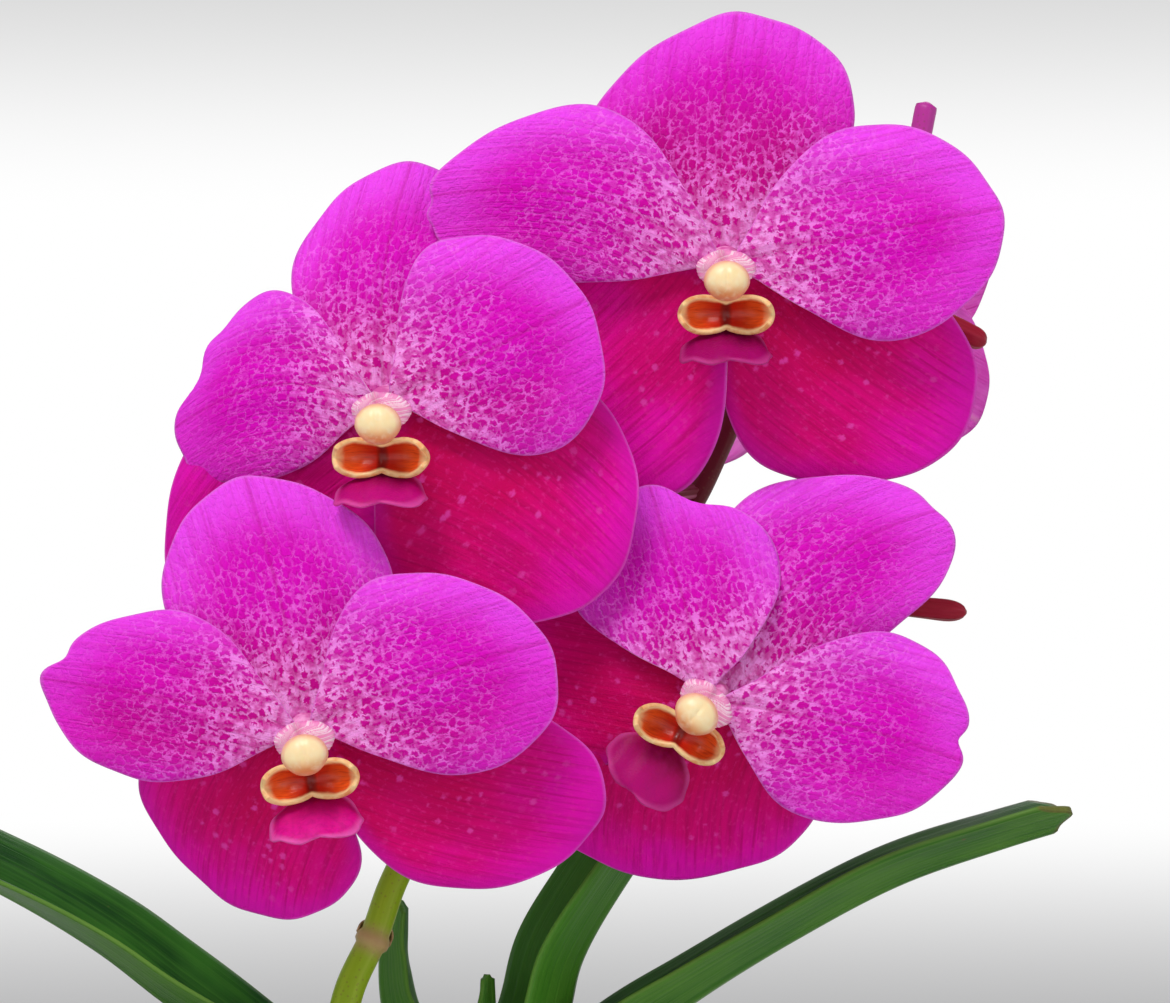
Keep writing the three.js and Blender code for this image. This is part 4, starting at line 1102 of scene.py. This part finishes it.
# Aerial roots: thick silvery cords that leave the stem under the leaves, arch out and go into the
# bark. One hangs over the pot's rim and ends in a green tip.
ROOTS = [
    {"turn": -62, "path": [(7.3, 150), (13, 149), (24, 138), (31, 122), (34, 106), (35, 92)], "r": 2.6},
    {"turn": 28, "path": [(7.3, 142), (14, 140), (23, 128), (28, 112), (29, 94)], "r": 2.4},
    {"turn": 100, "path": [(7.3, 152), (15, 152), (33, 143), (46, 128), (52, 110), (52, 94)], "r": 2.7},
    {"turn": 172, "path": [(7.3, 128), (12, 126), (18, 116), (20, 104), (20, 90)], "r": 2.3},
    {"turn": 236, "path": [(7.3, 146), (18, 148), (45, 142), (68, 131), (79, 112), (81, 88), (78, 62),
                           (80, 38)], "r": 2.6},
]
ROOT_TIP = 0.965
f = root_skin = Finish("root_skin", 0.78, 0.25)
fibres, patches = lengthwise(f, 0.12), f.grain(f.place(), 240.0, 4.0)
f.base(patches, 0.35, 0.65, (150, 160, 132), (206, 210, 192))
f.coat(fibres, 0.5, 0.72, (118, 122, 88), 0.5)
f.spot(f.mark("tip"), (128, 158, 62))
f.close(f.plus(fibres, patches), 0.7, 0.0005)
for i, root in enumerate(ROOTS):
    turn = radians(root["turn"])
    path = []
    for k, (out, z) in enumerate(root["path"]):
        drift = turn + 0.05 * sin(2.3 * k + root["turn"])
        path.append((out * cos(drift), out * sin(drift), z))

    def root_radius(share, around, r=root["r"], at=i):
        knots = noise.noise(Vector((cos(around), sin(around), 9 * share + 5 * at)))
        return (between([r, r, r - 0.4], share) + 0.22 * knots) * closed(share, ROOT_TIP)

    cord = stalk(Track(path), root_radius, root_skin, 26, 150)
    cord.name = f"aerial_root_{i + 1}"
    free = i == len(ROOTS) - 1
    keep(cord, tip=[eased((p.value - 0.9) / 0.06) if free else 0 for p in cord.data.attributes["along"].data])
    fitted(cord, "root", f"root_{i + 1}")


# Bark: a bed of damp bark that fills the pot, covered with loose chips of fir bark, each split
# along its layers, and crumbs between them.
POT_HEIGHT = 120
POT_FOOT_R = 47
POT_SHOULDER_R = 61
POT_RIM_R = 70
POT_RIM_DEEP = 28
POT_WALL = 6
POT_FLOOR = 8
BARK_TOP = 104
CHIP_COUNT = 36
CHIP_LONG = 19
CHIP_WIDE = 11
CHIP_THICK = 6
CHIP_NEAR, CHIP_SPAN = 9, 40
CRUMB_COUNT = 90
CRUMB_NEAR, CRUMB_SPAN = 11, 42
CHIP_TILT = 0.35
GOLDEN_TURN = 2.39996
f = bark_skin = Finish("bark_skin", 0.92, 0.2)
layers = f.grain(f.place((1, 1, 2.4)), 260.0, 5.0, 0.65, 0.4)
f.base(layers, 0.3, 0.72, (58, 34, 22), (132, 84, 54))
f.spot(f.times(f.mark("tone"), 0.6), (158, 104, 66))
f.coat(f.grain(f.place(), 90.0), 0.55, 0.75, (92, 84, 60), 0.4)
f.close(layers, 1.0, 0.0012)
seed = 4127


def chance(low, high):
    """The next seeded draw, the same each run."""
    global seed
    seed = (seed * 16807) % 2147483647
    return low + (high - low) * (seed / 2147483647)


rim_foot = POT_HEIGHT - POT_RIM_DEEP
bed = begun(bpy.ops.mesh.primitive_cylinder_add, vertices=64, radius=1, depth=2, end_fill_type="NGON")
edit("DESELECT")
pick(bed, lambda face: face.normal.z > 0.9)
for _ in range(9):
    bpy.ops.mesh.inset(thickness=0.1)
bpy.ops.object.mode_set(mode="OBJECT")
for point in bed.data.vertices:
    x, y, z = point.co
    if z < 0:
        wide, z = POT_FOOT_R - POT_WALL - GAP, POT_FLOOR + GAP
    else:
        wide, rough = POT_SHOULDER_R - POT_WALL + 3, 1.6 * noise.noise(Vector((x * 7, y * 7, 2)))
        z = BARK_TOP - 0.6 - 1.5 * eased((hypot(x, y) - 0.85) / 0.15) + rough
    point.co = (x * wide * MM, y * wide * MM, z * MM)
keep(bed, tone=0.0)
pieces = [bed]
for i in range(CHIP_COUNT):
    size = chance(0.6, 1)
    sides = (CHIP_LONG * size, CHIP_WIDE * chance(0.6, 1), CHIP_THICK * chance(0.6, 1))
    shift = [Vector((chance(-1.8, 1.8), chance(-1.5, 1.5), chance(-1, 1))) for _ in range(8)]
    out = CHIP_NEAR + CHIP_SPAN * sqrt((i + 0.5) / CHIP_COUNT)
    spin = i * GOLDEN_TURN
    turn = Matrix.Rotation(chance(-CHIP_TILT, CHIP_TILT), 4, "X")
    turn = Matrix.Rotation(chance(-CHIP_TILT, CHIP_TILT), 4, "Y") @ turn
    turn = Matrix.Rotation(chance(0, 6.28), 4, "Z") @ turn
    lay = Matrix.Translation((out * cos(spin), out * sin(spin), BARK_TOP + chance(0.2, 2.4))) @ turn
    chip = begun(bpy.ops.mesh.primitive_cube_add, size=1)
    apply(chip, "BEVEL", width=0.12, segments=2, affect="EDGES")
    edit()
    bpy.ops.mesh.subdivide(number_cuts=4)
    bpy.ops.object.mode_set(mode="OBJECT")
    for point in chip.data.vertices:
        a, b, c = (v + 0.5 for v in point.co)
        moved = Vector([v * side for v, side in zip(point.co, sides)])
        for corner in range(8):
            share = (a if corner & 1 else 1 - a) * (b if corner & 2 else 1 - b) * (c if corner & 4 else 1 - c)
            moved += shift[corner] * share
        step = Vector((moved.x * 0.12, moved.y * 0.5, moved.z * 1.3 + i * 7))
        moved += moved.normalized() * (0.9 * noise.noise(step) + 0.4 * noise.noise(step * 3))
        point.co = (lay @ moved) * MM
    keep(chip, tone=size * 2.2 - 1.2 if i % 3 else 1.0)
    pieces.append(chip)
crumbs = random.Random(77)
for i in range(CRUMB_COUNT):
    out = CRUMB_NEAR + CRUMB_SPAN * sqrt(crumbs.random())
    spin = crumbs.uniform(0, 2 * pi)
    crumb = begun(bpy.ops.mesh.primitive_ico_sphere_add, subdivisions=2, radius=1)
    scale = [crumbs.uniform(1.2, 3.6), crumbs.uniform(0.9, 2.2), crumbs.uniform(0.6, 1.4)]
    turn = Matrix.Rotation(crumbs.uniform(0, 6.28), 3, "Z")
    for point in crumb.data.vertices:
        lump = point.co * (1 + 0.35 * noise.noise(point.co * 1.7 + Vector((i, 0, 0))))
        lump = turn @ Vector([v * s for v, s in zip(lump, scale)])
        point.co = (lump + Vector((out * cos(spin), out * sin(spin), BARK_TOP + 0.6))) * MM
    keep(crumb, tone=crumbs.random())
    pieces.append(crumb)
bark = joined(pieces)
bark.name = "bark_chips"
wear(bark, bark_skin)
fitted(bark, "bark", "bark_bed")


# Pot: thrown and fired terracotta with a deep rim band, four drain holes in its foot, faint wheel
# marks, and the white and green bloom of a pot that has been watered for years.
POT_PROFILE = [
    (0, 0), (POT_FOOT_R - 2.6, 0), (POT_FOOT_R - 0.9, 0.5), (POT_FOOT_R, 2),
    *[(POT_FOOT_R + (POT_SHOULDER_R - POT_FOOT_R) * k / 24 + 0.16 * sin(k * 2.1),
       2 + (rim_foot - 2.6) * k / 24) for k in range(1, 24)],
    (POT_SHOULDER_R, rim_foot - 0.4), (POT_RIM_R - 2.6, rim_foot), (POT_RIM_R - 1.5, rim_foot + 0.6),
    (POT_RIM_R - 1, rim_foot + 2),
    *[(POT_RIM_R - 1 + k / 8 + 0.1 * sin(k * 2.6), rim_foot + 2 + (POT_RIM_DEEP - 5) * k / 8)
      for k in range(1, 8)],
    (POT_RIM_R, POT_HEIGHT - 3), (POT_RIM_R - 0.5, POT_HEIGHT - 1), (POT_RIM_R - 2, POT_HEIGHT),
    (POT_RIM_R - POT_WALL + 1.2, POT_HEIGHT), (POT_RIM_R - POT_WALL, POT_HEIGHT - 1),
    (POT_RIM_R - POT_WALL - 1.5, rim_foot + 9), (POT_RIM_R - POT_WALL - 2, rim_foot + 6),
    (POT_SHOULDER_R - POT_WALL, rim_foot), (POT_FOOT_R - POT_WALL, POT_FLOOR), (0, POT_FLOOR),
]
DRAIN_R = 5
DRAIN_PITCH_R = 26
f = clay = Finish("fired_clay", 0.86, 0.25)
grit = f.grain(f.place(), 1400.0, 3.0)
clouds = f.grain(f.place((1, 1, 0.7)), 26.0, 5.0, 0.6)
rings = f.grain(f.place((0.05, 0.05, 1)), 340.0)
high = f.node("SeparateXYZ", {0: f.place()}).outputs["Z"]
f.base(clouds, 0.3, 0.7, (168, 86, 54), (198, 116, 78))
f.coat(rings, 0.4, 0.7, (150, 72, 44), 0.25)
salt = f.band(f.grain(f.place((1, 1, 0.8)), 44.0, 6.0, 0.7), 0.52, 0.72)
f.spot(f.times(salt, f.band(high, 0.116, 0.03, 0.25, 0.8)), (222, 204, 188))
moss = f.band(f.grain(f.place((1, 1, 1.2)), 60.0, 6.0, 0.7), 0.5, 0.7)
f.spot(f.times(moss, f.band(high, 0.03, 0.0, 0.0, 0.6)), (108, 112, 70))
f.coat(grit, 0.55, 0.7, (120, 58, 38), 0.25)
f.feed(f.surface, {"Roughness": f.band(clouds, 0.3, 0.7, 0.78, 0.92)})
f.close(f.plus(grit, f.times(rings, 1.5)), 0.5, 0.0005)
pot = begun(bpy.ops.mesh.primitive_plane_add, size=0.001)
profile = bmesh.new()
line = [profile.verts.new((r * MM, 0, z * MM)) for r, z in POT_PROFILE]
for a, b in zip(line, line[1:]):
    profile.edges.new((a, b))
profile.to_mesh(pot.data)
profile.free()
edit()
bpy.ops.mesh.spin(steps=128, angle=2 * pi, center=(0, 0, 0), axis=(0, 0, 1))
bpy.ops.mesh.select_all(action="SELECT")
bpy.ops.mesh.remove_doubles(threshold=0.00001)
bpy.ops.mesh.normals_make_consistent(inside=False)
bpy.ops.object.mode_set(mode="OBJECT")
for turn in (45, 135, 225, 315):
    x, y = cos(radians(turn)), sin(radians(turn))
    drill = begun(bpy.ops.mesh.primitive_cylinder_add, vertices=32, radius=DRAIN_R * MM,
                  depth=3 * POT_FLOOR * MM, location=(DRAIN_PITCH_R * x * MM, DRAIN_PITCH_R * y * MM, 0))
    apply(pot, "BOOLEAN", object=drill, operation="DIFFERENCE", solver="EXACT")
    bpy.data.objects.remove(drill)
pot.data.materials.clear()
wear(pot, clay)
pot.data.set_sharp_from_angle(angle=radians(50))
pot.name = "clay_pot"
fitted(pot, "clay", "pot")

low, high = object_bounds()
